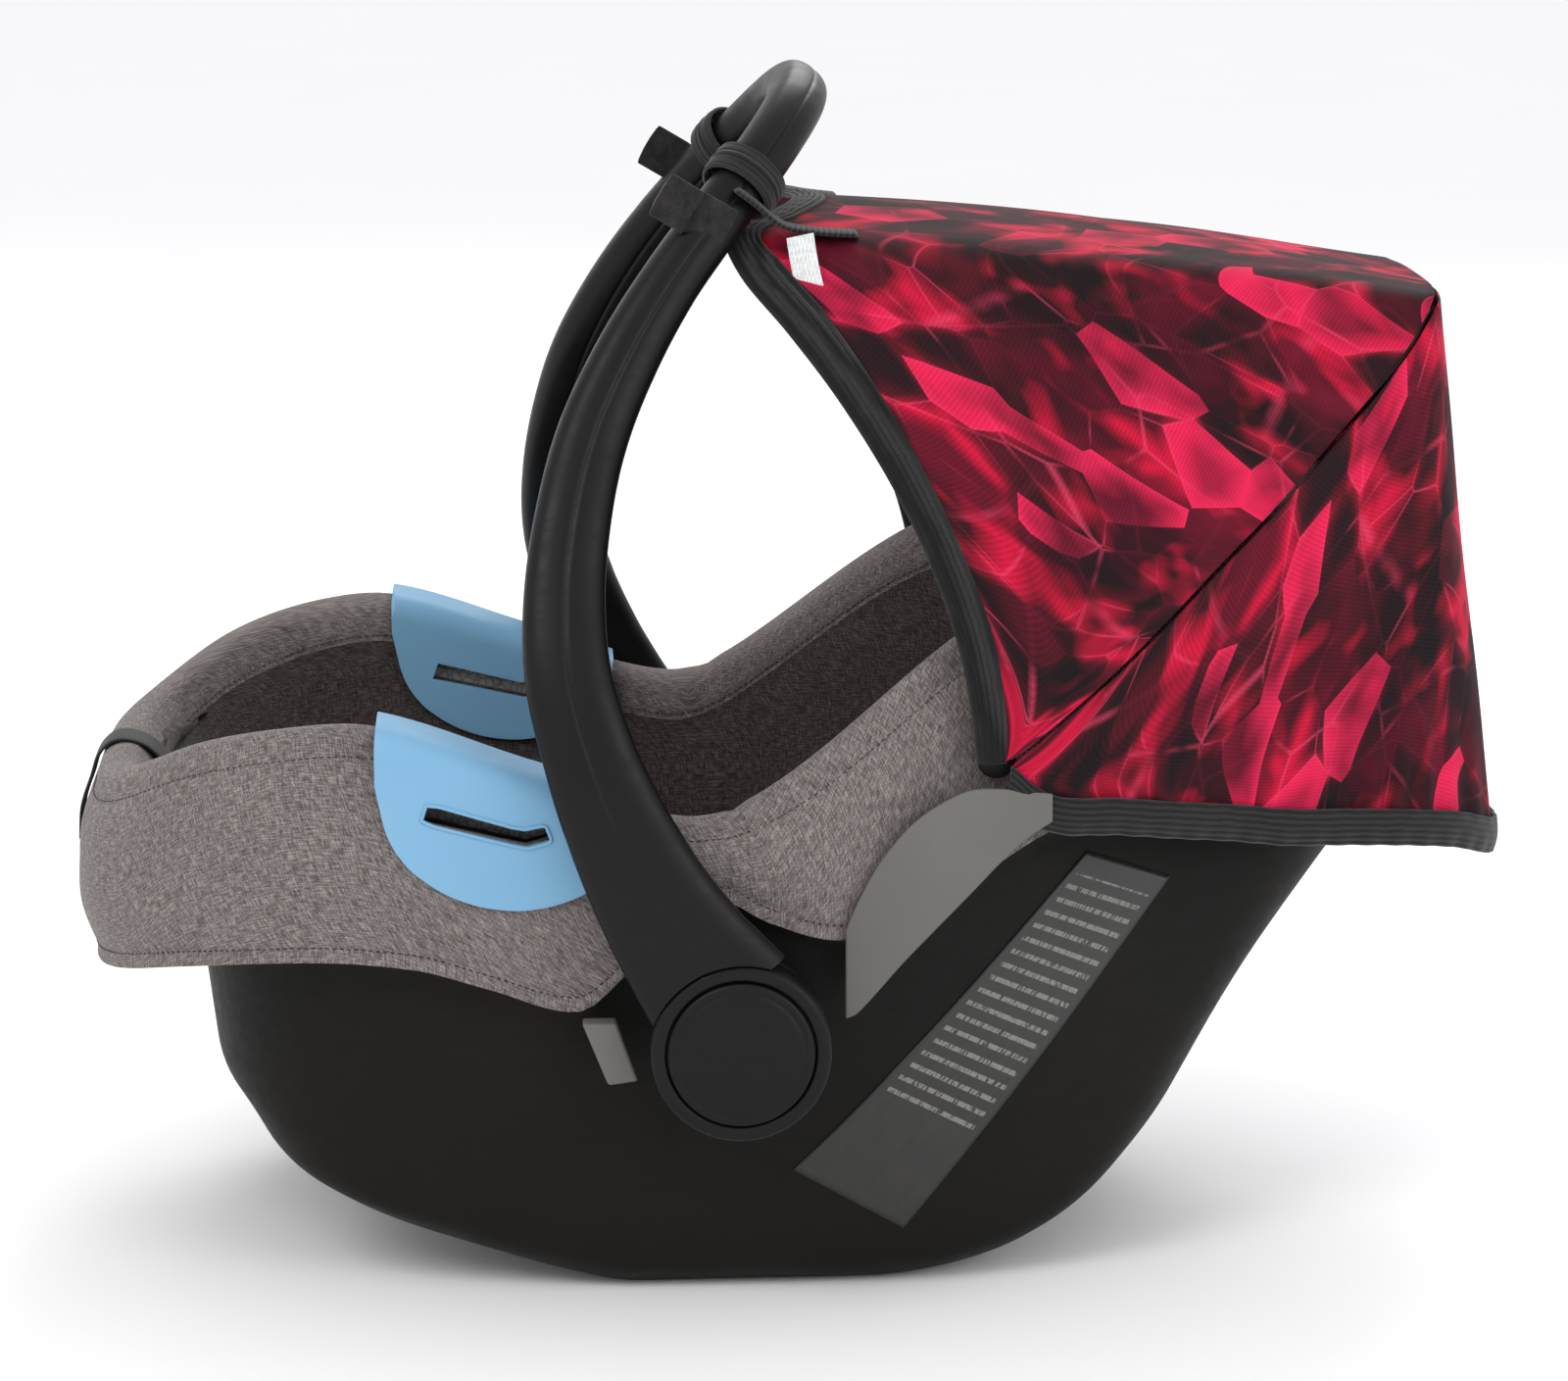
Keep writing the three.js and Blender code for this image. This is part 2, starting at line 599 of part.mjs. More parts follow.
// One moulding of the handle: the foot-end half or the head-end half of its section.
function handleHalf(sign) {
  const path = handlePath();
  const grip = new THREE.Vector3(0, Math.cos(-0.72), Math.sin(-0.72));
  const outlines = [];
  for (let k = 0; k <= HANDLE_STEPS; k += 1) {
    const t = k / HANDLE_STEPS;
    const centre = path.getPoint(t);
    const along = path.getTangent(t);
    const run = t < 0.5 ? 1 : -1;
    const inSide = new THREE.Vector2(along.y, along.z).multiplyScalar(run);
    const flatness = smooth((inSide.length() - 0.25) / 0.4);
    const deep = new THREE.Vector3(0, inSide.y, -inSide.x).normalize().multiplyScalar(flatness);
    deep.addScaledVector(grip, 1 - flatness);
    deep.addScaledVector(along, -deep.dot(along)).normalize();
    const thin = deep.clone().cross(along).normalize();
    const [depth, thick] = [armValue(ARM_DEPTH, t) / 2, armValue(ARM_THICK, t) / 2];
    const outline = [];
    for (let i = 0; i <= 6; i += 1) {
      const angle = (i / 6) * Math.PI;
      const across = thick * signedPower(Math.cos(angle), 0.8);
      const reach = 0.3 + (depth - 0.3) * signedPower(Math.sin(angle), 0.8);
      outline.push(centre.clone().addScaledVector(thin, across).addScaledVector(deep, sign * reach));
    }
    outlines.push(outline);
  }
  return loft(outlines);
}

function addHandle() {
  const hubs = [1, -1].map((side) => discX(side * 190, side * 240, 0, HUB_Z, HUB_RADIUS + 0.4, 48));
  piece('handle_front_shell', cut(handleHalf(-1), ...hubs), BLACK, 0.42);
  piece('handle_rear_shell', cut(handleHalf(1), ...hubs), BLACK, 0.42);
  const hub = discX(199, HUB_OUT - 2, 0, HUB_Z, HUB_RADIUS, 40);
  const capSeat = discX(HUB_OUT - 5, HUB_OUT + 2, 0, HUB_Z, CAP_RADIUS + 0.4, 40);
  const boltBore = discX(190, HUB_OUT, 0, HUB_Z, 6.4, 16);
  pair('handle_hub', cut(hub, capSeat, boltBore), BLACK, 0.45);
  pair('hub_cap', discX(HUB_OUT - 4.6, HUB_OUT, 0, HUB_Z, CAP_RADIUS, 40), BLACK, 0.4);
  pair('pivot_bolt', discX(191, HUB_OUT - 5.2, 0, HUB_Z, 6, 16), STEEL, 0.3, 0.9);
  const ringOuter = discX(176, 198.2, 0, HUB_Z, 40, 40);
  const boltClear = discX(170, 205, 0, HUB_Z, 6.4, 16);
  const plungerBore = discX(184, 205, -24, HUB_Z - 10, 6.5, 16);
  pair('lock_ring', cut(ringOuter, boltClear, plungerBore), INK, 0.5);
  pair('lock_plunger', discX(185, 198, -24, HUB_Z - 10, 6, 16), STEEL, 0.35, 0.8);
}

// ---------------------------------------------------------------- canopy

// Edges of the canopy from the right pivot over the top to the middle, as [x, y, z].
const SEAM = 1;                       // gap between cloth panels and their shared edge
const BAND_EDGE = [
  [174, 113, 262], [174, 110, 285], [171, 104, 316], [164, 92, 352], [154, 74, 390],
  [140, 50, 428], [124, 28, 456], [104, 6, 481], [84, 0, 496], [50, 20, 501], [0, 36, 504],
];
const FRONT_EDGE = [
  [174, 124, 262], [173, 123, 288], [169, 117, 322], [162, 104, 358], [153, 86, 397],
  [139, 64, 434], [122, 44, 462], [103, 24, 484], [84, 14, 496], [50, 34, 501], [0, 50, 504],
];
const BOW_EDGE = [
  [176, 127, 262], [171, 150, 280], [164, 176, 301], [155, 202, 324], [143, 228, 348], [130, 254, 371],
  [116, 282, 399], [102, 307, 424], [92, 325, 445], [80, 337, 462], [56, 342, 464], [0, 346, 463],
];
const HEM_EDGE = [
  [174, 127, 256], [170, 146, 241], [158, 180, 236], [146, 209, 231], [132, 238, 226],
  [122, 266, 221], [110, 294, 218], [96, 326, 214], [77, 353, 208], [46, 375, 197], [0, 384, 190],
];

// A smooth curve over both sides, made from its right half.
function mirroredCurve(half, lift = 0) {
  const right = half.map(([x, y, z]) => new THREE.Vector3(x, y, z + lift));
  const left = half.slice(0, -1).map(([x, y, z]) => new THREE.Vector3(-x, y, z + lift)).reverse();
  return new THREE.CatmullRomCurve3([...right, ...left]);
}

// Cloth stretched between two edges, with a little sag or crown between them.
function clothBetween(first, second, crown, uSteps, vSteps = 22) {
  const [a, b] = [mirroredCurve(first), mirroredCurve(second)];
  return sheet((u, v) => {
    const [p, q] = [a.getPoint(v), b.getPoint(v)];
    const length = p.distanceTo(q);
    const point = p.lerp(q, (SEAM + (length - 2 * SEAM) * u) / length);
    const bulge = crown * Math.sin(Math.PI * u) * Math.sin(Math.PI * v);
    return point.add(new THREE.Vector3(point.x * 0.006 * bulge, 0, bulge * (1 - Math.abs(point.x) / 260)));
  }, FABRIC, uSteps, vSteps);
}

function tubeAlong(curve, radius, steps, sides = 8) {
  const section = new THREE.Shape();
  for (let i = 0; i < sides; i += 1) {
    const angle = (i / sides) * 2 * Math.PI;
    const [x, y] = [radius * Math.cos(angle), radius * Math.sin(angle)];
    if (i === 0) section.moveTo(x, y);
    else section.lineTo(x, y);
  }
  return new THREE.ExtrudeGeometry(section, { steps, extrudePath: curve, bevelEnabled: false });
}

function addCanopy() {
  piece('canopy_front_panel', clothBetween(FRONT_EDGE, BOW_EDGE, 6, 6), CRIMSON, 0.85);
  piece('canopy_rear_panel', clothBetween(BOW_EDGE, HEM_EDGE, 1, 5), CRIMSON, 0.85);
  piece('canopy_front_elastic', clothBetween(BAND_EDGE, FRONT_EDGE, 0, 1), ELASTIC, 0.9);
  const hemFoot = HEM_EDGE.map(([x, y, z]) => [x * 0.985, y - 1, z - 12]);
  piece('canopy_hem', clothBetween(HEM_EDGE, hemFoot, 0, 1), ELASTIC, 0.9);
  piece('canopy_bow', tubeAlong(mirroredCurve(BOW_EDGE.map(underCloth)), BOW_RADIUS, 30, 6), BLACK, 0.5);
  pair('canopy_clip', discX(160, 164.5, CANOPY_PIVOT.y, CANOPY_PIVOT.z, 9, 20), BLACK, 0.5);
  pair('canopy_loop', handleLoop(), ELASTIC, 0.9);
}

// The hoop runs just inside the seam between the two panels.
function underCloth([x, y, z]) {
  const top = smooth((z - 380) / 80);
  return [x - 7 * (1 - top), y - 4.5, z - 7.5 * top];
}

// The elastic loop that ties the canopy to one arm of the handle.
function handleLoop() {
  const at = 0.414;
  const [inside, outside, half] = [15.8, 18, 8];
  const section = [[inside, -half], [outside, -half], [outside, half], [inside, half], [inside, -half]];
  const band = new THREE.LatheGeometry(section.map(([r, y]) => new THREE.Vector2(r, y)), 20);
  const path = handlePath();
  const turn = new THREE.Quaternion().setFromUnitVectors(new THREE.Vector3(0, 1, 0), path.getTangent(at));
  const centre = path.getPoint(at);
  return band.applyQuaternion(turn).translate(centre.x, centre.y, centre.z);
}

piece('shell', shellGeometry, INK, 0.55);
addFoam();
addCover();
addPads();
addHarness();
addSideParts();
addHandle();
addCanopy();

carrier.position.y = FORE_AFT_SHIFT;

export default carrier;
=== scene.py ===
import json
import math

import bmesh
import bpy
import numpy as np
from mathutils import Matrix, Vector
from mathutils.bvhtree import BVHTree


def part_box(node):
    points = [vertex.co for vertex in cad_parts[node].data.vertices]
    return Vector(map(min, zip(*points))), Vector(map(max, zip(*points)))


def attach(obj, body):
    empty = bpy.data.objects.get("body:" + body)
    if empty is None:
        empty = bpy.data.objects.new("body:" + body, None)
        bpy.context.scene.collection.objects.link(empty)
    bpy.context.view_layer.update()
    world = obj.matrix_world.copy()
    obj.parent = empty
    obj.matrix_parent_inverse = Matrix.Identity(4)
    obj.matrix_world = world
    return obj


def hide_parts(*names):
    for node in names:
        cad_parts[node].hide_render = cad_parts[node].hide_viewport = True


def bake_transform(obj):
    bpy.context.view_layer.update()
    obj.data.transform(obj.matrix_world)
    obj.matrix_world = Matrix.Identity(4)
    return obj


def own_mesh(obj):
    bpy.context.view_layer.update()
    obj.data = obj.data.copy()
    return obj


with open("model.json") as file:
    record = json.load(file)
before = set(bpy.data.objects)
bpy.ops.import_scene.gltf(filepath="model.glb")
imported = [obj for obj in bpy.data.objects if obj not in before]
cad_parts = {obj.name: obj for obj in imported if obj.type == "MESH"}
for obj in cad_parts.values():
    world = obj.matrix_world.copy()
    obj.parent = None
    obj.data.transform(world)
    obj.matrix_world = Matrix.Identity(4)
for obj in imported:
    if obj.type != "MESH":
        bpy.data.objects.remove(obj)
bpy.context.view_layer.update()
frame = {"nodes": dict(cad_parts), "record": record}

# ------------------------------------------------------------------ driving dimensions
# Shapes are worked out in millimetres about the handle's pivot axis (Y = 0), then moved
# into the frame by to_frame.

JOINTS = {joint["name"]: joint for joint in frame["record"]["behaviour"]["joints"]}
PIVOT_Y = JOINTS["handle_swing"]["pos_m"][1] * 1000
HUB_Z = JOINTS["handle_swing"]["pos_m"][2] * 1000
HUB_RADIUS = 42
AROUND = 288                     # points round the bucket
FOOT_BOXY = 3.8                  # squareness of the plan outline at the foot end
HEAD_BOXY = 2.8                  # and at the head end
COVER_GAP = 2.1                  # shell to the cover's underside
COVER_THICK = 3.0
WING_WALL = dict(front=-310, rear=362, half=181)
SEAT_WALL = dict(front=-286, rear=296, half=150)
BELT_SLOT = [(-146, 239.0), (-143, 247.4), (-100, 236.2), (-89, 238.2), (-86, 231.0), (-98, 228.0)]
SIDES = ((1, "right"), (-1, "left"))


def unit(vectors):
    """Vectors brought to length one."""
    return vectors / np.maximum(np.linalg.norm(vectors, axis=-1, keepdims=True), 1e-9)


def run_length(points):
    """Distance along a line at each of its points."""
    return np.concatenate([[0], np.cumsum(np.linalg.norm(np.diff(points, axis=0), axis=1))])


def smooth(t):
    """Ease from 0 to 1."""
    c = np.clip(t, 0.0, 1.0)
    return c * c * (3 - 2 * c)


def profile(points):
    """A smooth height curve through (y, z) points, level beyond its ends."""
    ys = np.array([p[0] for p in points], float)
    zs = np.array([p[1] for p in points], float)
    ends = np.arange(len(ys))
    before = np.maximum(ends - 1, 0)
    after = np.minimum(ends + 1, len(ys) - 1)
    slope = (zs[after] - zs[before]) / (ys[after] - ys[before])

    def height(y):
        y = np.clip(np.asarray(y, float), ys[0], ys[-1])
        i = np.clip(np.searchsorted(ys, y, side="right") - 1, 0, len(ys) - 2)
        span = ys[i + 1] - ys[i]
        t = (y - ys[i]) / span
        ease = t * t * (3 - 2 * t)
        bend = t * (1 - t) ** 2 * span * slope[i] + t * t * (t - 1) * span * slope[i + 1]
        return zs[i] * (1 - ease) + zs[i + 1] * ease + bend

    return height


crest_height = profile([
    (-306, 236), (-291, 243), (-250, 266), (-204, 278), (-165, 279), (-94, 256),
    (-23, 236), (13, 248), (101, 314), (150, 337), (200, 350), (260, 361), (312, 366)])
rocker_curve = profile([
    (-226, 53), (-182, 37), (-127, 20), (-85, 7), (-50, 0), (70, 0), (110, 5), (150, 16), (200, 40)])
mid_height = profile([(-245, 96), (0, 100), (160, 108), (250, 132)])
flange_height = profile([
    (-306, 150), (-258, 165), (-202, 174), (-150, 172), (-116, 163), (-74, 152), (-54, 168),
    (-30, 195), (-8, 205), (14, 194), (49, 184), (90, 196), (150, 226), (205, 236), (366, 236)])
floor_height = profile([
    (-292, 216), (-235, 165), (-150, 108), (-80, 80), (-20, 92), (40, 130), (100, 172),
    (200, 250), (285, 322), (304, 352)])


def rocker_height(y):
    """Height of the base's underside, flat where it stands."""
    return np.where((y > -50) & (y < 70), 0.0, rocker_curve(y))


def to_frame(points):
    """Millimetres about the pivot axis, as metres in the frame."""
    return (np.asarray(points, float) + np.array([0, PIVOT_Y, 0])) * 0.001


# ------------------------------------------------------------------ bucket outlines

def narrowing(y):
    """Share of the full width that is left towards the head and foot ends."""
    return 1 - 0.32 * smooth((y - 20) / 200) - 0.1 * smooth((-y - 200) / 110)


def boxy_at(along):
    """Power of the plan outline, which is squarer at the foot end."""
    return np.where(along < 0, FOOT_BOXY, HEAD_BOXY)


def signed_power(value, power):
    return np.sign(value) * np.abs(value) ** power


def even_angles(count):
    """Angles that space the points of a bucket outline evenly along its edge."""
    fine = np.linspace(0, 2 * math.pi, 4001)
    power = 2 / boxy_at(np.sin(fine))
    half_width, half_length = 178, 306
    x = half_width * signed_power(np.cos(fine), power)
    y = half_length * signed_power(np.sin(fine), power)
    length = run_length(np.stack([x, y], axis=1))
    return np.interp(np.arange(count) / count * length[-1], length, fine)


ANGLES = even_angles(AROUND)


def ring(front, rear, half, height, grow=0, lift=0, square=0, taper=1):
    """One closed plan outline of the bucket at a height that depends on y."""
    middle = (front + rear) / 2
    reach = (rear - front) / 2 + grow
    power = 2 / (square or boxy_at(np.sin(ANGLES)))
    y = middle + reach * signed_power(np.sin(ANGLES), power)
    narrowed = 1 - taper * (1 - narrowing(y))
    x = (half * narrowed + grow) * signed_power(np.cos(ANGLES), power)
    return np.stack([x, y, height(y) + lift], axis=1)


def half_at(outline, y):
    """Half width of a bucket outline at one place along it."""
    along = (y - (outline["front"] + outline["rear"]) / 2) / ((outline["rear"] - outline["front"]) / 2)
    boxy = boxy_at(along)
    return outline["half"] * narrowing(y) * (1 - np.minimum(np.abs(along), 1) ** boxy) ** (1 / boxy)


def shell_rings():
    """The shell's outside, from the middle of its base to its rim."""
    def rim(y):
        return crest_height(y) - 5

    def flange_to_rim(share):
        return lambda y: flange_height(y) + share * (rim(y) - flange_height(y))

    def under_flange(y):
        return flange_height(y) - 7 - 30 * smooth((y - 120) / 200)

    return [
        ring(-52, 72, 112, lambda y: 0 * y),
        ring(-196, 158, 138, rocker_height, square=6, taper=0.15),
        ring(-223, 188, 151, lambda y: rocker_height(y) + 9, square=6, taper=0.2),
        ring(-235, 212, 157, lambda y: rocker_height(y) + 27, square=5.5, taper=0.3),
        ring(-249, 252, 164, mid_height, square=4.4, taper=0.55),
        ring(-258, 312, 169, under_flange),
        ring(-304, 358, 180, flange_height),
        ring(**WING_WALL, height=flange_to_rim(0.3)),
        ring(-310, 346, 178, flange_to_rim(0.75)),
        ring(-302, 312, 172, rim),
    ]


def seat_rings(grow=0, lift=0):
    """The seat's inside, from the lowest place to the crest."""
    def wall(share):
        return lambda y: floor_height(y) + share * (crest_height(y) - 8 - floor_height(y))

    more = dict(grow=grow, lift=lift)
    return [
        ring(-105, 0, 34, floor_height, **more),
        ring(-150, 60, 64, floor_height, **more),
        ring(-200, 150, 92, floor_height, **more),
        ring(-240, 250, 112, floor_height, **more),
        ring(-268, 284, 136, wall(0.25), **more),
        ring(**SEAT_WALL, height=wall(0.7), **more),
        ring(-292, 302, 158, wall(1), **more),
    ]


def grid_normals(grid, closed=True):
    """Surface normals of a grid of points, rows by columns."""
    up = np.gradient(grid, axis=0)
    if closed:
        along = np.roll(grid, -1, axis=1) - np.roll(grid, 1, axis=1)
    else:
        along = np.gradient(grid, axis=1)
    return unit(np.cross(along, up))


# ------------------------------------------------------------------ meshes

def new_object(name, points, faces, material, uv=None, metres=False):
    mesh = bpy.data.meshes.new(name)
    mesh.from_pydata([tuple(p) for p in (points if metres else to_frame(points))], [], faces)
    if uv is not None:
        layer = mesh.uv_layers.new(name="cloth")
        corners = np.zeros(len(mesh.loops), int)
        mesh.loops.foreach_get("vertex_index", corners)
        layer.data.foreach_set("uv", np.asarray(uv, float)[corners].ravel())
    mesh.polygons.foreach_set("use_smooth", [True] * len(mesh.polygons))
    mesh.validate()
    obj = bpy.data.objects.new(name, mesh)
    bpy.context.scene.collection.objects.link(obj)
    obj.data.materials.append(material)
    return obj


def grid_faces(rows, columns, closed):
    """Quads between neighbouring rows of points."""
    faces = []
    for r in range(rows - 1):
        for c in range(columns if closed else columns - 1):
            n = (c + 1) % columns
            faces.append((r * columns + c, r * columns + n, (r + 1) * columns + n, (r + 1) * columns + c))
    return faces


def grid_object(name, grid, material, closed=True, pole=None, uv=None, flip=False):
    rows, columns = grid.shape[:2]
    points = grid.reshape(-1, 3)
    faces = grid_faces(rows, columns, closed)
    if pole is not None:
        points = np.vstack([points, [pole]])
        faces += [(rows * columns, (c + 1) % columns, c) for c in range(columns)]
        uv = None if uv is None else np.vstack([uv, [uv[:columns].mean(axis=0)]])
    if flip:
        faces = [face[::-1] for face in faces]
    return new_object(name, points, faces, material, uv)


def capped(name, grid, material, uv=None):
    """A closed skin through a row of closed outlines, its ends fanned shut."""
    rows, count = grid.shape[:2]
    points = np.vstack([grid.reshape(-1, 3), grid[0].mean(axis=0), grid[-1].mean(axis=0)])
    if uv is not None:
        uv = np.vstack([uv.reshape(-1, 2), uv[0].mean(axis=0), uv[-1].mean(axis=0)])
    faces = grid_faces(rows, count, True)
    first, last = rows * count, (rows - 1) * count
    faces += [(first, (k + 1) % count, k) for k in range(count)]
    faces += [(first + 1, last + k, last + (k + 1) % count) for k in range(count)]
    return face_outwards(new_object(name, points, faces, material, uv))


def face_outwards(obj):
    """Turns every face of a closed piece outwards."""
    mesh = bmesh.new()
    mesh.from_mesh(obj.data)
    bmesh.ops.recalc_face_normals(mesh, faces=mesh.faces)
    mesh.to_mesh(obj.data)
    mesh.free()
    return obj


def cloth_uv(grid):
    """Metric coordinates on a grid: distance along its rows and across them."""
    along = np.linalg.norm(np.diff(grid, axis=1), axis=2)
    across = np.linalg.norm(np.diff(grid, axis=0), axis=2)
    u = np.concatenate([np.zeros((grid.shape[0], 1)), np.cumsum(along, axis=1)], axis=1)
    u = u - u.mean(axis=1, keepdims=True)
    v = np.concatenate([np.zeros((1, grid.shape[1])), np.cumsum(across, axis=0)], axis=0)
    return np.stack([u, v], axis=2).reshape(-1, 2) * 0.001


def apply_modifiers(obj):
    """Replaces the mesh by what its modifiers make of it."""
    graph = bpy.context.evaluated_depsgraph_get()
    mesh = bpy.data.meshes.new_from_object(obj.evaluated_get(graph))
    obj.modifiers.clear()
    obj.data = mesh
    return obj


def thicken(obj, millimetres, offset=-1.0, lining=0):
    """Gives a skin its thickness; lining is the material step on its inner side."""
    solid = obj.modifiers.new("thickness", "SOLIDIFY")
    solid.thickness = millimetres * 0.001
    solid.offset = offset
    solid.use_even_offset = False
    solid.material_offset = lining
    return apply_modifiers(obj)


def node_copy(node, name):
    """A free copy of a CAD node's mesh."""
    source = frame["nodes"][node]
    source = bpy.data.objects[source] if isinstance(source, str) else source
    obj = bpy.data.objects.new(name, source.data.copy())
    bpy.context.scene.collection.objects.link(obj)
    obj.data.materials.clear()
    return obj


def rounded(node, material, voxel=1.2, rounds=4, name=None):
    """A moulded plastic or metal piece: the CAD shape with its edges rounded over."""
    obj = node_copy(node, name or f"{node}_look")
    remesh = obj.modifiers.new("remesh", "REMESH")
    remesh.mode = "VOXEL"
    remesh.voxel_size = voxel * 0.001
    relax = obj.modifiers.new("relax", "SMOOTH")
    relax.iterations = rounds
    relax.factor = 0.5
    apply_modifiers(obj)
    return finish_piece(obj, node, material)


def finish_piece(obj, node, material):
    """Gives a piece made from a CAD node its material, body and replaced node."""
    obj.data.materials.clear()
    obj.data.materials.append(material)
    obj.data.polygons.foreach_set("use_smooth", [True] * len(obj.data.polygons))
    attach(obj, body_of_node(node))
    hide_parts(node)
    return obj


def body_of_node(node):
    """The body that a CAD node moves with."""
    for body, nodes in frame["record"]["behaviour"]["bodies"].items():
        if node in nodes:
            return body
    raise ValueError(node)


# ------------------------------------------------------------------ materials

class Surface:
    """A procedural material under construction: short names for the nodes it needs."""

    def __init__(self, name, space="Object"):
        self.material = bpy.data.materials.new(name)
        self.material.use_nodes = True
        self.tree = self.material.node_tree
        self.shader = self.tree.nodes["Principled BSDF"]
        self.coords = self.tree.nodes.new("ShaderNodeTexCoord").outputs[space]

    def node(self, kind, values=None, **links):
        made = self.tree.nodes.new(kind)
        for key, value in (values or {}).items():
            if isinstance(value, str) or key in ("operation", "blend_type", "data_type", "feature", "clamp"):
                setattr(made, key, value)
            else:
                made.inputs[key].default_value = value
        for key, socket in links.items():
            self.tree.links.new(socket, made.inputs[key])
        return made

    def noise(self, scale, detail=3.0, roughness=0.5, stretch=None, coords=None):
        vector = coords or self.coords
        if stretch:
            vector = self.node("ShaderNodeMapping", {"Scale": stretch}, Vector=vector).outputs[0]
        values = {"Scale": scale, "Detail": detail, "Roughness": roughness}
        return self.node("ShaderNodeTexNoise", values, Vector=vector).outputs["Fac"]

    def split(self, coords=None):
        return self.node("ShaderNodeSeparateXYZ", Vector=coords or self.coords).outputs

    def math(self, operation, a, b=0.0, c=None):
        made = self.tree.nodes.new("ShaderNodeMath")
        made.operation = operation
        for socket, value in zip(made.inputs, (a, b, 0.0 if c is None else c)):
            if isinstance(value, (int, float)):
                socket.default_value = value
            else:
                self.tree.links.new(value, socket)
        return made.outputs[0]

    def ramp(self, fac, low, high, bottom=0.0, top=1.0):
        values = {"From Min": low, "From Max": high, "To Min": bottom, "To Max": top}
        return self.node("ShaderNodeMapRange", values, Value=fac).outputs["Result"]

    def mix(self, fac, a, b, blend="MIX"):
        made = self.tree.nodes.new("ShaderNodeMix")
        made.data_type = "RGBA"
        made.blend_type = blend
        sockets = {"Factor": made.inputs[0], "A": made.inputs[6], "B": made.inputs[7]}
        for key, value in (("Factor", fac), ("A", a), ("B", b)):
            if isinstance(value, (int, float, tuple)):
                sockets[key].default_value = value if not isinstance(value, tuple) else (*value, 1.0)
            else:
                self.tree.links.new(value, sockets[key])
        return made.outputs[2]

    def color(self, socket):
        self.tree.links.new(socket, self.shader.inputs["Base Color"])

    def rough(self, socket):
        self.tree.links.new(socket, self.shader.inputs["Roughness"])

    def bump(self, height, strength=0.3, millimetres=0.2):
        values = {"Strength": strength, "Distance": millimetres * 0.001}
        made = self.node("ShaderNodeBump", values, Height=height)
        self.tree.links.new(made.outputs[0], self.shader.inputs["Normal"])

    def set(self, **values):
        for key, value in values.items():
            self.shader.inputs[key.replace("_", " ")].default_value = value
        return self


def srgb(red, green, blue):
    """Linear colour for an 8-bit screen colour."""
    return tuple((c / 255 / 12.92) if c < 10 else ((c / 255 + 0.055) / 1.055) ** 2.4
                 for c in (red, green, blue))


def threads(s, pitch, coords=None):
    """Height of a plain weave with this thread spacing in millimetres: 0 to 1."""
    x, y = s.split(coords)[:2]
    turn = math.pi * 1000 / pitch
    warp = s.math("SINE", s.math("MULTIPLY", x, turn))
    weft = s.math("SINE", s.math("MULTIPLY", y, turn))
    over = s.math("MULTIPLY", warp, weft)
    return s.math("MULTIPLY_ADD", over, 0.5, 0.5)


def plastic(name, dark, light, rough=(0.38, 0.5), grain=0.25, grain_scale=1400.0, shine=0.3):
    """A moulded plastic with a fine spark-eroded grain and faint handling marks."""
    s = Surface(name)
    cloud = s.noise(9.0, 4.0)
    speck = s.noise(grain_scale, 2.0, 0.6)
    s.color(s.mix(s.ramp(cloud, 0.3, 0.7), dark, light))
    scuff = s.noise(160.0, 3.0, 0.7, stretch=(1.0, 0.25, 1.0))
    s.rough(s.math("ADD", s.ramp(scuff, 0.3, 0.7, *rough), s.ramp(speck, 0.3, 0.7, 0.0, 0.05)))
    s.bump(speck, grain, 0.12)
    s.set(Specular_IOR_Level=shine)
    return s.material


def melange(name, dark, middle, light, pitch=0.9, space="UV", rough=(0.82, 0.97)):
    """A woven cloth of mixed yarns: single light and dark threads run both ways."""
    s = Surface(name, space)
    weave = threads(s, pitch)
    across = s.noise(1.0, 2.0, 0.6, stretch=(1500.0, 170.0, 300.0))
    along = s.noise(1.0, 2.0, 0.6, stretch=(170.0, 1500.0, 300.0))
    cloud = s.noise(22.0, 3.0)
    yarn = s.math("ADD", s.ramp(across, 0.32, 0.68, -0.5, 0.5), s.ramp(along, 0.32, 0.68, -0.5, 0.5))
    level = s.math("MULTIPLY_ADD", yarn, 0.9, 0.5)
    base = s.mix(s.ramp(level, 0.0, 0.5), dark, middle)
    base = s.mix(s.ramp(level, 0.5, 1.05), base, light)
    shade = s.math("MULTIPLY", s.ramp(weave, 0.0, 1.0, 0.8, 1.06), s.ramp(cloud, 0.3, 0.7, 0.92, 1.06))
    tone = s.node("ShaderNodeCombineXYZ", X=shade, Y=shade, Z=shade).outputs[0]
    s.color(s.mix(1.0, base, tone, "MULTIPLY"))
    s.rough(s.ramp(level, 0.0, 1.0, rough[1], rough[0]))
    s.bump(s.math("ADD", weave, s.math("MULTIPLY", yarn, 0.5)), 0.5, 0.25)
    s.set(Sheen_Weight=0.12, Sheen_Roughness=0.5, Specular_IOR_Level=0.2)
    return s.material


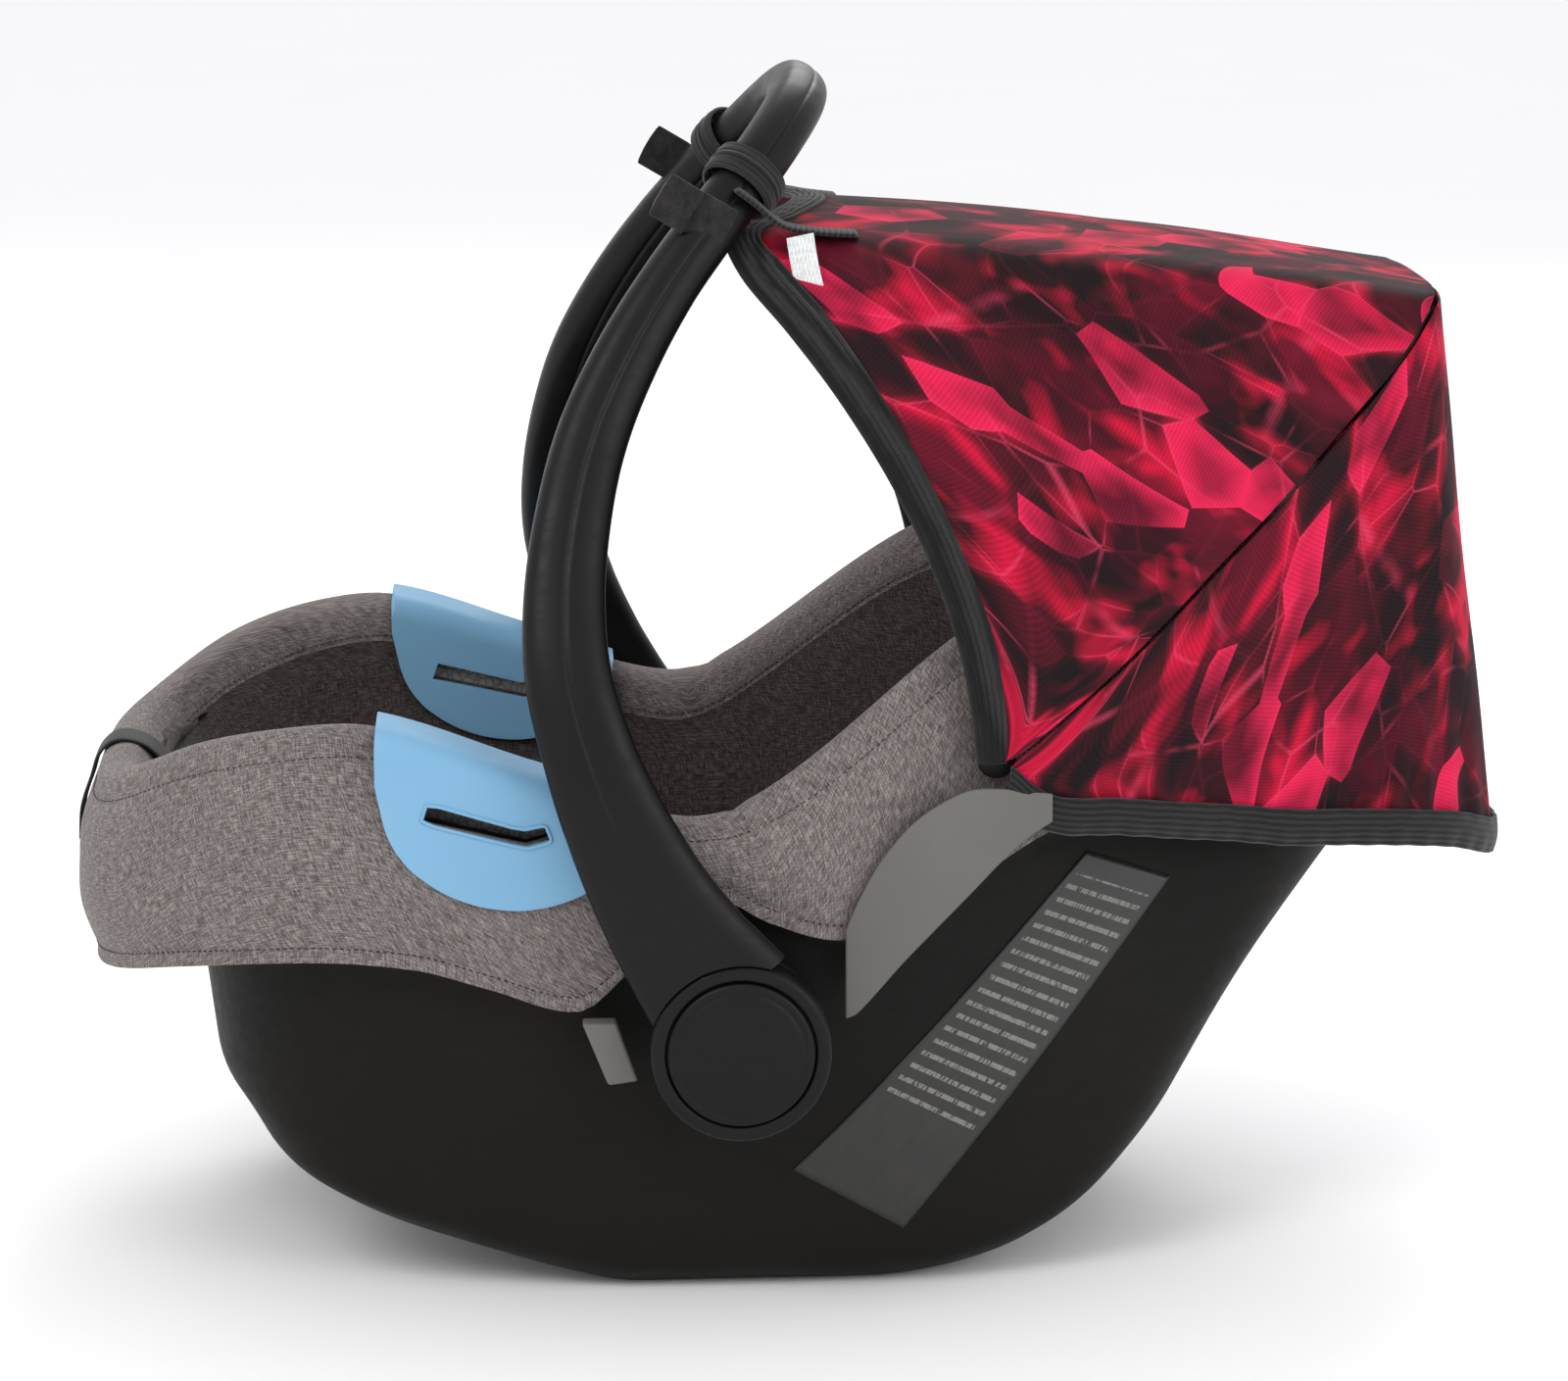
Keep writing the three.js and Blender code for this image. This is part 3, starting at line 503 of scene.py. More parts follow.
def webbing_material(name="webbing_weave"):
    """Dense black webbing with fine ribs across it."""
    s = Surface(name, "UV")
    x, y = s.split()[:2]
    rib = s.math("MULTIPLY_ADD", s.math("SINE", s.math("MULTIPLY", y, 4200.0)), 0.5, 0.5)
    weft = s.math("MULTIPLY_ADD", s.math("SINE", s.math("MULTIPLY", x, 5200.0)), 0.5, 0.5)
    fibre = s.noise(1.0, 2.0, 0.6, stretch=(2600.0, 500.0, 500.0))
    level = s.math("MULTIPLY", rib, s.ramp(fibre, 0.2, 0.8, 0.5, 1.0))
    s.color(s.mix(level, srgb(14, 13, 14), srgb(44, 42, 43)))
    s.rough(s.ramp(fibre, 0.3, 0.7, 0.62, 0.8))
    s.bump(s.math("MULTIPLY_ADD", weft, 0.3, rib), 0.5, 0.2)
    s.set(Sheen_Weight=0.1, Specular_IOR_Level=0.25)
    return s.material


def plush_material(name, dark, light):
    """Short-pile plush for the harness pads."""
    s = Surface(name)
    pile = s.noise(900.0, 4.0, 0.7)
    tuft = s.noise(150.0, 3.0, 0.6)
    level = s.math("MULTIPLY_ADD", tuft, 0.5, s.math("MULTIPLY", pile, 0.5))
    s.color(s.mix(s.ramp(level, 0.32, 0.68), dark, light))
    s.rough(s.ramp(pile, 0.3, 0.7, 0.85, 0.98))
    s.bump(level, 0.7, 0.5)
    s.set(Sheen_Weight=0.35, Sheen_Roughness=0.4, Specular_IOR_Level=0.15)
    return s.material


def foam_material():
    """Expanded foam: packed beads with fine seams between them."""
    s = Surface("foam_beads")
    values = {"Scale": 260.0, "feature": "DISTANCE_TO_EDGE"}
    seams = s.node("ShaderNodeTexVoronoi", values, Vector=s.coords).outputs["Distance"]
    bead = s.ramp(seams, 0.0, 0.12)
    s.color(s.mix(bead, srgb(120, 119, 116), srgb(168, 167, 163)))
    s.rough(s.ramp(seams, 0.0, 0.3, 0.95, 0.8))
    s.bump(bead, 0.6, 0.3)
    return s.material


def metal_material(name="steel_turned"):
    """Bright steel with fine turning marks."""
    s = Surface(name)
    marks = s.noise(1.0, 2.0, 0.5, stretch=(2400.0, 160.0, 160.0))
    s.color(s.mix(s.ramp(marks, 0.3, 0.7), srgb(120, 121, 123), srgb(168, 169, 171)))
    s.rough(s.ramp(marks, 0.3, 0.7, 0.22, 0.42))
    s.bump(marks, 0.15, 0.05)
    s.set(Metallic=1.0)
    return s.material


def film_material():
    """The label: matte film with faint fibres and rows of generic grey dashes."""
    s = Surface("label_film", "UV")
    x, y = s.split()[:2]
    row = s.math("FRACT", s.math("MULTIPLY", y, 26.0))
    line = s.math("MULTIPLY", s.math("GREATER_THAN", row, 0.3), s.math("LESS_THAN", row, 0.62))
    words = s.noise(1.0, 2.0, 0.6, stretch=(60.0, 26.0, 1.0))
    dash = s.math("MULTIPLY", line, s.ramp(words, 0.42, 0.47))
    inside = s.math("MULTIPLY", s.math("GREATER_THAN", x, 0.08), s.math("LESS_THAN", x, 0.92))
    inside = s.math("MULTIPLY", inside, s.math("GREATER_THAN", y, 0.27))
    inside = s.math("MULTIPLY", inside, s.math("LESS_THAN", y, 0.94))
    dash = s.math("MULTIPLY", dash, inside)
    haze = s.noise(14.0, 3.0)
    base = s.mix(s.ramp(haze, 0.3, 0.7), srgb(31, 30, 28), srgb(40, 39, 36))
    s.color(s.mix(s.math("MULTIPLY", dash, 0.55), base, srgb(150, 148, 142)))
    s.rough(s.ramp(haze, 0.3, 0.7, 0.34, 0.46))
    s.bump(s.noise(700.0, 2.0), 0.1, 0.05)
    return s.material


def elastic_material():
    """Black ribbed elastic: close ribs run across the band."""
    s = Surface("elastic_ribs", "UV")
    y = s.split()[1]
    wobble = s.noise(70.0, 2.0)
    rib = s.math("SINE", s.math("MULTIPLY_ADD", y, 2100.0, s.math("MULTIPLY", wobble, 3.0)))
    rib = s.math("MULTIPLY_ADD", rib, 0.5, 0.5)
    fibre = s.noise(900.0, 3.0, 0.7)
    level = s.math("MULTIPLY", rib, s.ramp(fibre, 0.3, 0.7, 0.4, 1.0))
    s.color(s.mix(level, srgb(12, 11, 12), srgb(48, 46, 47)))
    s.rough(s.ramp(fibre, 0.3, 0.7, 0.7, 0.9))
    s.bump(s.math("MULTIPLY_ADD", fibre, 0.4, rib), 0.8, 0.5)
    s.set(Sheen_Weight=0.15, Specular_IOR_Level=0.2)
    return s.material


def shards(s, scale, angle, seed, coords=None, loose=0.75):
    """Slanting angular cells: the tone of each and the distance to its nearest edge."""
    values = {"Location": (seed, seed * 1.7, seed * 0.3), "Rotation": (0.0, 0.0, angle),
              "Scale": (scale, scale * 0.8, scale)}
    vector = s.node("ShaderNodeMapping", values, Vector=coords or s.coords).outputs[0]
    cells = s.node("ShaderNodeTexVoronoi", {"Scale": 1.0, "Randomness": loose}, Vector=vector)
    edges = s.node("ShaderNodeTexVoronoi", {"Scale": 1.0, "Randomness": loose, "feature": "DISTANCE_TO_EDGE"},
                   Vector=vector)
    return s.split(cells.outputs["Color"])[0], edges.outputs["Distance"]


def canopy_material(name="canopy_print", lining=False):
    """The canopy's printed cloth: dark diamonds parted by glowing crimson streaks and shards."""
    s = Surface(name, "UV")
    tone, edge = shards(s, 24.0, 0.62, 2.0)
    shard, shard_edge = shards(s, 31.0, -0.5, 7.0)
    fine_edge = shards(s, 19.0, 1.25, 11.0, loose=1.0)[1]
    glow = s.noise(24.0, 2.0, 0.5)
    smoke = s.noise(11.0, 3.0, 0.6)
    night = s.mix(s.ramp(tone, 0.2, 0.9), srgb(18, 13, 15), srgb(50, 8, 22))
    night = s.mix(s.ramp(smoke, 0.44, 0.64, 0.0, 0.7), night, srgb(112, 12, 38))
    near_edge = s.ramp(edge, 0.02, 0.22, 1.0, 0.0)
    streak = s.math("MULTIPLY", near_edge, s.ramp(glow, 0.46, 0.58, 0.02, 1.0))
    base = s.mix(streak, night, srgb(196, 16, 56))
    lit = s.math("MULTIPLY", s.ramp(shard, 0.8, 0.84), s.ramp(shard_edge, 0.0, 0.3, 1.0, 0.35))
    lit = s.math("MULTIPLY", lit, s.ramp(smoke, 0.4, 0.56, 0.15, 1.0))
    base = s.mix(lit, base, srgb(226, 34, 82))
    shade = s.math("MULTIPLY", s.ramp(shard, 0.16, 0.3, 0.85, 0.0), s.ramp(shard_edge, 0.0, 0.12, 0.3, 1.0))
    base = s.mix(shade, base, srgb(22, 14, 18))
    line = s.math("MAXIMUM", s.ramp(fine_edge, 0.0, 0.022, 0.8, 0.0), s.ramp(shard_edge, 0.0, 0.02, 0.7, 0.0))
    line = s.math("MULTIPLY", line, s.ramp(glow, 0.48, 0.62, 0.04, 0.6))
    base = s.mix(line, base, srgb(236, 70, 108))
    weave = threads(s, 1.1)
    fade = s.ramp(weave, 0.0, 1.0, 0.7, 1.05)
    grey = s.node("ShaderNodeCombineXYZ", X=fade, Y=fade, Z=fade).outputs[0]
    base = s.mix(1.0, base, grey, "MULTIPLY")
    if lining:
        base = s.mix(0.4, base, srgb(120, 62, 76))
    s.color(base)
    s.rough(s.ramp(weave, 0.0, 1.0, 0.85, 0.7))
    s.bump(weave, 0.35, 0.2)
    s.set(Specular_IOR_Level=0.15)
    return s.material


MATERIALS = dict(
    shell=plastic("shell_plastic", srgb(15, 14, 12), srgb(20, 18, 15), (0.48, 0.6), 0.3, shine=0.14),
    handle=plastic("handle_plastic", srgb(12, 11, 11), srgb(16, 15, 15), (0.32, 0.44), 0.18, shine=0.2),
    guide=plastic("guide_plastic", srgb(112, 160, 194), srgb(120, 168, 200), (0.5, 0.62), 0.2),
    trim=plastic("trim_plastic", srgb(94, 92, 88), srgb(104, 102, 98), (0.46, 0.58), 0.25),
    buckle=plastic("buckle_plastic", srgb(26, 26, 27), srgb(34, 34, 35), (0.34, 0.46), 0.2),
    red_button=plastic("red_plastic", srgb(176, 22, 24), srgb(194, 30, 30), (0.3, 0.42), 0.15),
    cover=melange("cover_cloth", srgb(80, 73, 71), srgb(112, 104, 102), srgb(150, 143, 140)),
    cover_dark=melange("cover_inner", srgb(40, 35, 34), srgb(62, 55, 53), srgb(90, 82, 79)),
    insert=melange("insert_cloth", srgb(24, 20, 19), srgb(48, 41, 39), srgb(84, 76, 72), space="Object"),
    dark_thread=melange("dark_thread", srgb(30, 26, 25), srgb(50, 45, 43), srgb(74, 68, 66), space="Object"),
    webbing=webbing_material(),
    pad=plush_material("pad_plush", srgb(20, 19, 20), srgb(52, 50, 50)),
    foam=foam_material(),
    steel=metal_material(),
    label=film_material(),
    elastic=elastic_material(),
    canopy=canopy_material(),
    lining=canopy_material("canopy_lining", lining=True),
    tag=melange("tag_ribbon", srgb(204, 206, 206), srgb(216, 218, 218), srgb(228, 230, 230), space="Object"),
)


# ------------------------------------------------------------------ shell and cover

def filleted(rows, reaches, between=3, corner=5):
    """Rows down a polyline through every column, each inner corner rounded by its reach in mm."""
    rows = np.asarray(rows, float)
    steps = rows[1:] - rows[:-1]
    lengths = np.maximum(np.linalg.norm(steps, axis=2, keepdims=True), 1e-6)
    heading = steps / lengths
    made = []
    leave = rows[0]
    for k in range(1, len(rows)):
        last = k == len(rows) - 1
        room = lengths[k - 1] if last else np.minimum(lengths[k - 1], lengths[k])
        reach = 0 if last else np.minimum(reaches[k - 1], 0.47 * room)
        arrive = rows[k] - heading[k - 1] * reach
        made += [leave + (arrive - leave) * s / between for s in range(between)]
        if last:
            made.append(arrive)
            break
        leave = rows[k] + heading[k] * reach
        for s in range(corner):
            t = s / corner
            made.append((1 - t) ** 2 * arrive + 2 * t * (1 - t) * rows[k] + t * t * leave)
    return np.array(made)


def offset_rings(rings, distance):
    """A stack of outlines moved along its own surface normals."""
    return list(np.asarray(rings) + grid_normals(np.asarray(rings, float)) * distance)


def plate_solid(outline, from_x, to_x, name):
    """A plain prism along X from a side-view outline."""
    grid = np.array([[(x, y, z) for y, z in outline] for x in (from_x, to_x)], float)
    count = len(outline)
    faces = grid_faces(2, count, True) + [list(range(count))[::-1], list(range(count, 2 * count))]
    return face_outwards(new_object(name, grid.reshape(-1, 3), faces, MATERIALS["shell"]))


def subtract(obj, cutter):
    """Cuts one closed piece out of another and removes the cutter."""
    modifier = obj.modifiers.new("cut", "BOOLEAN")
    modifier.operation = "DIFFERENCE"
    modifier.solver = "EXACT"
    modifier.object = cutter
    apply_modifiers(obj)
    bpy.data.objects.remove(cutter)
    return obj


def cut_slot(obj):
    """Cuts the belt slot through both wings of a piece."""
    return subtract(obj, plate_solid(BELT_SLOT, -260, 260, "slot_cutter"))


def build_shell():
    rows = filleted(shell_rings(), [10, 14, 20, 30, 8, 4, 30, 30], between=4, corner=6)
    shell = grid_object("shell_look", rows, MATERIALS["shell"], pole=(0, 10, 0))
    thicken(shell, 4.0)
    cut_slot(shell)
    return finish_look(shell, "seat", "shell", "shell")


def finish_look(obj, body, slot, *nodes):
    """Puts a finished piece on its body, in place of its CAD nodes; the slot argument is not used."""
    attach(obj, body)
    if nodes:
        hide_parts(*nodes)
    return obj


def groove(distance, width=3.0, depth=1.4):
    """How far cloth is pulled in at this distance from a seam."""
    return -depth * np.exp(-(distance / width) ** 2)


def cover_rows():
    """The visible side of the cover, from the seat floor over the crest to the hem."""
    wall = offset_rings(shell_rings()[6:9], COVER_GAP + COVER_THICK)[::-1]
    hem = wall[2] - np.array([0, 0, 4.0])
    crest = [
        ring(-297, 307, 165, lambda y: crest_height(y) + 0.8),
        ring(-305, 317, 174, lambda y: crest_height(y) + 0.4),
    ]
    return seat_rings(grow=-3.6, lift=3.6) + crest + wall + [hem]


SEAT_LEVELS = 7
SEAM_IN = 34.0                   # from the crest to the seam where the cover turns darker
COVER_BETWEEN = 6
COVER_CORNER = 5
CREST_ROW = (COVER_BETWEEN + COVER_CORNER) * SEAT_LEVELS + COVER_BETWEEN // 2


def cover_surface():
    """The cover's grid with its seams, padding and small creases pressed in."""
    reaches = [20, 40, 40, 40, 30, 10, 9, 8, 25, 30, 4]
    grid = filleted(cover_rows(), reaches, COVER_BETWEEN, COVER_CORNER)
    steps = np.linalg.norm(np.diff(grid, axis=0), axis=2)
    down = np.concatenate([np.zeros((1, grid.shape[1])), np.cumsum(steps, axis=0)])
    down = down - down[CREST_ROW]
    to_hem = down[-1] - down
    y = grid[:, :, 1]
    side = np.abs(grid[:, :, 0]) > 60
    outside = down > 0
    push = groove(down - 15.0, 3.0, 1.3) * (np.abs(y + 20) < 290)
    push += groove(to_hem - 7.0, 2.2, 0.7) * outside
    push += groove(down + SEAM_IN, 3.0, 1.8)
    push += groove(y + 3.0, 3.2, 1.6) * side * (down > -40)
    push += 1.5 * smooth((down - 15) / 24) * smooth((to_hem - 7) / 24)
    push += 2.0 * smooth((-down - SEAM_IN) / 22) * smooth((down + 130) / 30) * smooth(y / 60)
    crease = 0.55 * np.sin(y / 21.0 + 1.7 * np.sin(down / 17.0)) + 0.4 * np.sin(y / 9.0 + down / 13.0)
    push += crease * smooth((np.abs(down) - 4) / 20) * 0.8
    push *= smooth(to_hem / 3.0)
    return grid - grid_normals(grid) * push[:, :, None], down


def align_seam_rows(grid, down):
    """Slides one row onto the inner seam, so that the cover's darker part starts along it smoothly."""
    pick = np.argmin(np.abs(np.median(down, axis=1) + SEAM_IN))
    ease = np.exp(-((np.arange(len(grid)) - pick) / 2.5) ** 2)
    target = down - ease[:, None] * (down[pick] + SEAM_IN)[None, :]
    moved = np.empty_like(grid)
    for c in range(grid.shape[1]):
        for k in range(3):
            moved[:, c, k] = np.interp(target[:, c], down[:, c], grid[:, c, k])
    return moved, target, pick


def build_cover():
    grid, down = cover_surface()
    grid, down, seam_row = align_seam_rows(grid, down)
    pole = (0, -60, float(floor_height(-60)) + 3.6)
    uv = cloth_uv_closed(grid)
    cover = grid_object("cover_look", grid, MATERIALS["cover"], pole=pole, uv=uv, flip=True)
    cover.data.materials.append(MATERIALS["cover_dark"])
    columns = grid.shape[1]
    # The rows inside the seam take the darker material, and so does the fan round the pole below.
    inside = np.repeat(np.arange(grid.shape[0] - 1) < seam_row, columns)
    for polygon, dark in zip(cover.data.polygons, inside):
        polygon.material_index = int(dark)
    for polygon in list(cover.data.polygons)[(grid.shape[0] - 1) * columns:]:
        polygon.material_index = 1
    thicken(cover, 3.0)
    cut_slot(cover)
    finish_look(cover, "seat", "cover", "seat_cover")
    return grid, down


def cloth_uv_closed(grid):
    """Cloth coordinates on a closed grid, mirrored front to back so that no seam shows."""
    step = np.linalg.norm(np.roll(grid, -1, axis=1) - grid, axis=2)
    u = np.cumsum(step, axis=1) - step
    total = step.sum(axis=1, keepdims=True)
    u = np.minimum(u, total - u)
    across = np.linalg.norm(np.diff(grid, axis=0), axis=2)
    v = np.concatenate([np.zeros((1, grid.shape[1])), np.cumsum(across, axis=0)], axis=0)
    return np.stack([u, v], axis=2).reshape(-1, 2) * 0.001


# ------------------------------------------------------------------ stitching

def even_points(points, spacing, closed=False):
    """Points along a line at an even spacing, with the direction at each."""
    points = np.asarray(points, float)
    if closed:
        points = np.vstack([points, points[:1]])
    length = run_length(points)
    count = max(int(length[-1] / spacing), 2)
    at = (np.arange(count) + 0.5) / count * length[-1]

    def spots(shift):
        return np.stack([np.interp(at + shift, length, points[:, k]) for k in range(3)], axis=1)

    return spots(0), unit(spots(0.5) - spots(-0.5))


STITCH_SHAPE = ((-0.5, -0.25, 0.3), (-0.28, 0.2, 1.0), (0.28, 0.2, 1.0), (0.5, -0.25, 0.3))


def stitches(name, lines, material, spacing=3.4, long=2.3, wide=0.55, proud=0.15):
    """A row of small thread stitches along each line of (points, normals)."""
    points, faces = [], []
    for line, normals in lines:
        spots, heading = even_points(line, spacing)
        nearest = np.array([np.argmin(np.sum((line - spot) ** 2, axis=1)) for spot in spots])
        up = normals[nearest]
        for spot, ahead, out, across in zip(spots, heading, up, unit(np.cross(heading, up))):
            start = len(points)
            for share, lift, width in STITCH_SHAPE:
                centre = spot + ahead * long * share + out * (proud + lift)
                for turn in range(6):
                    angle = turn * math.pi / 3
                    spoke = across * math.cos(angle) + out * math.sin(angle)
                    points.append(centre + spoke * wide * width * 0.5)
            faces += [tuple(start + k for k in face) for face in grid_faces(4, 6, True)]
            faces.append(tuple(start + k for k in range(5, -1, -1)))
            faces.append(tuple(start + 18 + k for k in range(6)))
    return new_object(name, points, faces, material)


def row_at(grid, down, distance):
    """The line on a grid that lies at one distance past the crest, column by column."""
    columns = grid.shape[1]
    distance = np.broadcast_to(distance, columns)
    line = np.zeros((columns, 3))
    for c in range(columns):
        for k in range(3):
            line[c, k] = np.interp(distance[c], down[:, c], grid[:, c, k])
    return line


def build_cover_seams(grid, down):
    """Thread along the hem, along the wings and along the inner seam, where the cover turns darker."""
    normals = -grid_normals(grid)
    for name, distance, wide in (
        ("hem_stitches", down[-1] - 7.0, 0.55),
        ("wing_stitches", 17.2, 0.45),
        ("seat_stitches", 3.0 - SEAM_IN, 0.45),
    ):
        lines = [(row_at(grid, down, distance), row_at(normals, down, distance))]
        finish_look(stitches(name, lines, MATERIALS["dark_thread"], wide=wide), "seat", "cover")


# ------------------------------------------------------------------ curves

class Curve:
    """A centripetal Catmull-Rom curve through points, read by share of its point count."""

    def __init__(self, points):
        self.points = np.asarray(points, float)

    def at(self, t):
        points = self.points
        count = len(points) - 1
        t = np.atleast_1d(np.clip(t, 0, 1)) * count
        i = np.clip(np.floor(t).astype(int), 0, count - 1)
        w = (t - i)[:, None]
        p1, p2 = points[i], points[i + 1]
        p0 = np.where((i > 0)[:, None], points[np.maximum(i - 1, 0)], 2 * p1 - p2)
        p3 = np.where((i < count - 1)[:, None], points[np.minimum(i + 2, count)], 2 * p2 - p1)
        d0, d1, d2 = (np.maximum(np.sum((b - a) ** 2, axis=1) ** 0.25, 1e-4)[:, None]
                      for a, b in ((p0, p1), (p1, p2), (p2, p3)))
        m1 = ((p1 - p0) / d0 - (p2 - p0) / (d0 + d1) + (p2 - p1) / d1) * d1
        m2 = ((p2 - p1) / d1 - (p3 - p1) / (d1 + d2) + (p3 - p2) / d2) * d1
        return (p1 + m1 * w + (-3 * p1 + 3 * p2 - 2 * m1 - m2) * w**2 + (2 * p1 - 2 * p2 + m1 + m2) * w**3)

    def heading(self, t):
        return unit(self.at(np.asarray(t) + 1e-4) - self.at(np.asarray(t) - 1e-4))

    def even(self, count):
        """Shares that are evenly spaced along the curve's length."""
        fine = np.linspace(0, 1, 2001)
        length = run_length(self.at(fine))
        return np.interp(np.linspace(0, length[-1], count), length, fine)


def mirrored_curve(half):
    """A curve that is the same on both sides, from the points of one."""
    half = np.asarray(half, float)
    return Curve(np.vstack([half, (half[:-1] * [-1, 1, 1])[::-1]]))


def tube(name, curve, radius, material, steps=80, sides=14):
    """A round cord along a curve, with closed ends."""
    t = curve.even(steps)
    centre, along = curve.at(t), curve.heading(t)
    side = np.cross(along, [0, 0, 1.0])
    weak = np.linalg.norm(side, axis=1) < 0.2
    side[weak] = np.cross(along[weak], [1.0, 0, 0])
    return capped(name, rings_round(centre, unit(side), along, radius, sides), material)


def rings_round(centre, side, along, radius, sides):
    """Round outlines at each place on a line."""
    up = np.cross(side, along)
    turn = np.arange(sides) / sides * 2 * math.pi
    spokes = (np.cos(turn)[None, :, None] * side[:, None, :] + np.sin(turn)[None, :, None] * up[:, None, :])
    return centre[:, None, :] + radius * spokes


# ------------------------------------------------------------------ handle

ARM_LINE = [
    (211, -8, 160), (210, -24, 182), (209, -40, 208), (206.5, -57, 243), (202, -69, 275),
    (192, -78, 310), (176, -79, 345), (157, -73, 385), (141, -64, 415), (126, -48, 448),
    (112, -29, 478), (96, -7, 506), (72, 17, 534), (42, 32, 552)]
ARM_DEPTH = [70, 62, 55, 48, 43, 40, 37.5, 35, 33.5, 31, 28.5, 27.5, 27, 27]
ARM_THICK = [21, 21, 21, 21, 21.5, 22, 22.5, 23.5, 24.5, 25.5, 26, 26.5, 27, 27]
HANDLE = mirrored_curve(ARM_LINE + [(0, 37, 558)])
GRIP_LEAN = np.array([0, math.cos(-0.72), math.sin(-0.72)])


def arm_value(values, t):
    """A width of the handle's arm, read by share of the whole handle."""
    along = (1 - np.abs(2 * t - 1)) * len(values)
    return np.interp(along, np.arange(len(values)), values)


def handle_frames(t):
    """Centre, heading, deep axis and thin axis of the handle's section at each share."""
    centre, along = HANDLE.at(t), HANDLE.heading(t)
    run = np.where(t < 0.5, 1.0, -1.0)[:, None]
    in_side = along[:, 1:] * run
    flatness = smooth((np.linalg.norm(in_side, axis=1) - 0.25) / 0.4)[:, None]
    deep = np.stack([0 * in_side[:, 0], in_side[:, 1], -in_side[:, 0]], axis=1)
    deep = unit(deep) * flatness + GRIP_LEAN * (1 - flatness)
    deep = unit(deep - along * np.sum(deep * along, axis=1, keepdims=True))
    return centre, along, deep, np.cross(deep, along)


def handle_section(t, turn):
    """Points on the handle's skin: shares along it by angles round it."""
    centre, _, deep, thin = handle_frames(t)
    across = arm_value(ARM_THICK, t)[:, None] / 2 * signed_power(np.cos(turn), 0.8)[None, :]
    reach = arm_value(ARM_DEPTH, t)[:, None] / 2 * signed_power(np.sin(turn), 0.8)[None, :]
    return centre[:, None, :] + across[:, :, None] * thin[:, None, :] + reach[:, :, None] * deep[:, None, :]


def build_handle():
    """The arch of the handle, with the parting line of its two mouldings pressed in."""
    t = HANDLE.even(420)
    beside = 0.035
    lines = [beside, 2 * math.pi - beside, math.pi - beside, math.pi + beside]
    turn = np.sort(np.concatenate([np.linspace(0.0, 2 * math.pi, 73)[:-1], lines]))
    grid = handle_section(t, turn)
    normal = unit(grid - handle_frames(t)[0][:, None, :])
    pressed = 0.7 * np.exp(-(np.abs(np.sin(turn)) / 0.025) ** 2)
    arch = capped("handle_look", grid - normal * pressed[None, :, None], MATERIALS["handle"])
    for side in (1, -1):
        subtract(arch, disc("hub_cutter", side * 190, side * 240, 0, HUB_Z, HUB_RADIUS + 0.4,
                            MATERIALS["handle"], 96))
    shade_by_angle(arch, 40)
    return finish_look(arch, "handle", "handle", "handle_front_shell", "handle_rear_shell")


def shade_by_angle(obj, degrees=35):
    """Smooth shading that keeps edges sharper than an angle crisp."""
    obj.data.polygons.foreach_set("use_smooth", [True] * len(obj.data.polygons))
    mesh = bmesh.new()
    mesh.from_mesh(obj.data)
    for edge in mesh.edges:
        if len(edge.link_faces) == 2:
            edge.smooth = edge.calc_face_angle(0.0) < math.radians(degrees)
    mesh.to_mesh(obj.data)
    mesh.free()
    return obj


def disc(name, from_x, to_x, y, z, radius, material, sides=96, bevel=0.0):
    """A round disc along X with rounded rims."""
    low, high = min(from_x, to_x), max(from_x, to_x)
    return turned(name, [(low, 0), (low, radius - bevel)] + arc_profile(low, radius, bevel, True)
                  + arc_profile(high, radius, bevel, False) + [(high, 0)], y, z, material, sides)


def arc_profile(x, radius, bevel, low):
    """A quarter round at one rim of a disc, or its sharp corner."""
    if bevel <= 0:
        return [(x, radius)]
    way = -1 if low else 1
    turns = np.linspace(0, math.pi / 2, 7)[::-way]
    return [(x - way * bevel * (1 - math.cos(a)), radius - bevel * (1 - math.sin(a))) for a in turns]


def turned(name, section, y, z, material, sides=96):
    """A solid of revolution about an axis along X from (x, radius) points."""
    points, faces = [], []
    rings = []
    for x, radius in section:
        if radius < 1e-6:
            rings.append([len(points)])
            points.append((x, y, z))
        else:
            rings.append(list(range(len(points), len(points) + sides)))
            points += [(x, y + radius * math.cos(k / sides * 2 * math.pi),
                        z + radius * math.sin(k / sides * 2 * math.pi)) for k in range(sides)]
    for a, b in zip(rings, rings[1:]):
        for k in range(sides):
            n = (k + 1) % sides
            if len(a) == 1:
                faces.append((a[0], b[k], b[n]))
            elif len(b) == 1:
                faces.append((a[k], b[0], a[n]))
            else:
                faces.append((a[k], b[k], b[n], a[n]))
    return shade_by_angle(face_outwards(new_object(name, points, faces, material)), 50)


# Half sections of the parts turned about the pivot axis: (x, radius).
HUB_SECTION = (
    (199, 6.5), (199, 40.6), (199.4, 41.5), (200.4, 42), (217.4, 42), (219, 41.4), (220, 39.8),
    (220.1, 36), (219.6, 35.0), (218.2, 34.5), (216.8, 34.5), (216.8, 6.5), (199, 6.5))
CAP_SECTION = (
    (217.4, 0), (217.4, 34), (220.2, 34), (221.0, 33.5), (221.4, 32.4), (221.5, 30.6), (221.2, 30.0),
    (221.2, 29.5), (221.6, 29.0), (222, 27.5), (222.1, 14), (222.1, 0))
LOCK_SECTION = (
    (176, 6.5), (176, 38), (177, 39.4), (178.4, 40), (188, 40), (188.6, 39.2), (189.6, 39.2), (190.2, 40),
    (196.6, 40), (197.8, 39.4), (198.2, 38), (198.2, 6.5), (176, 6.5))


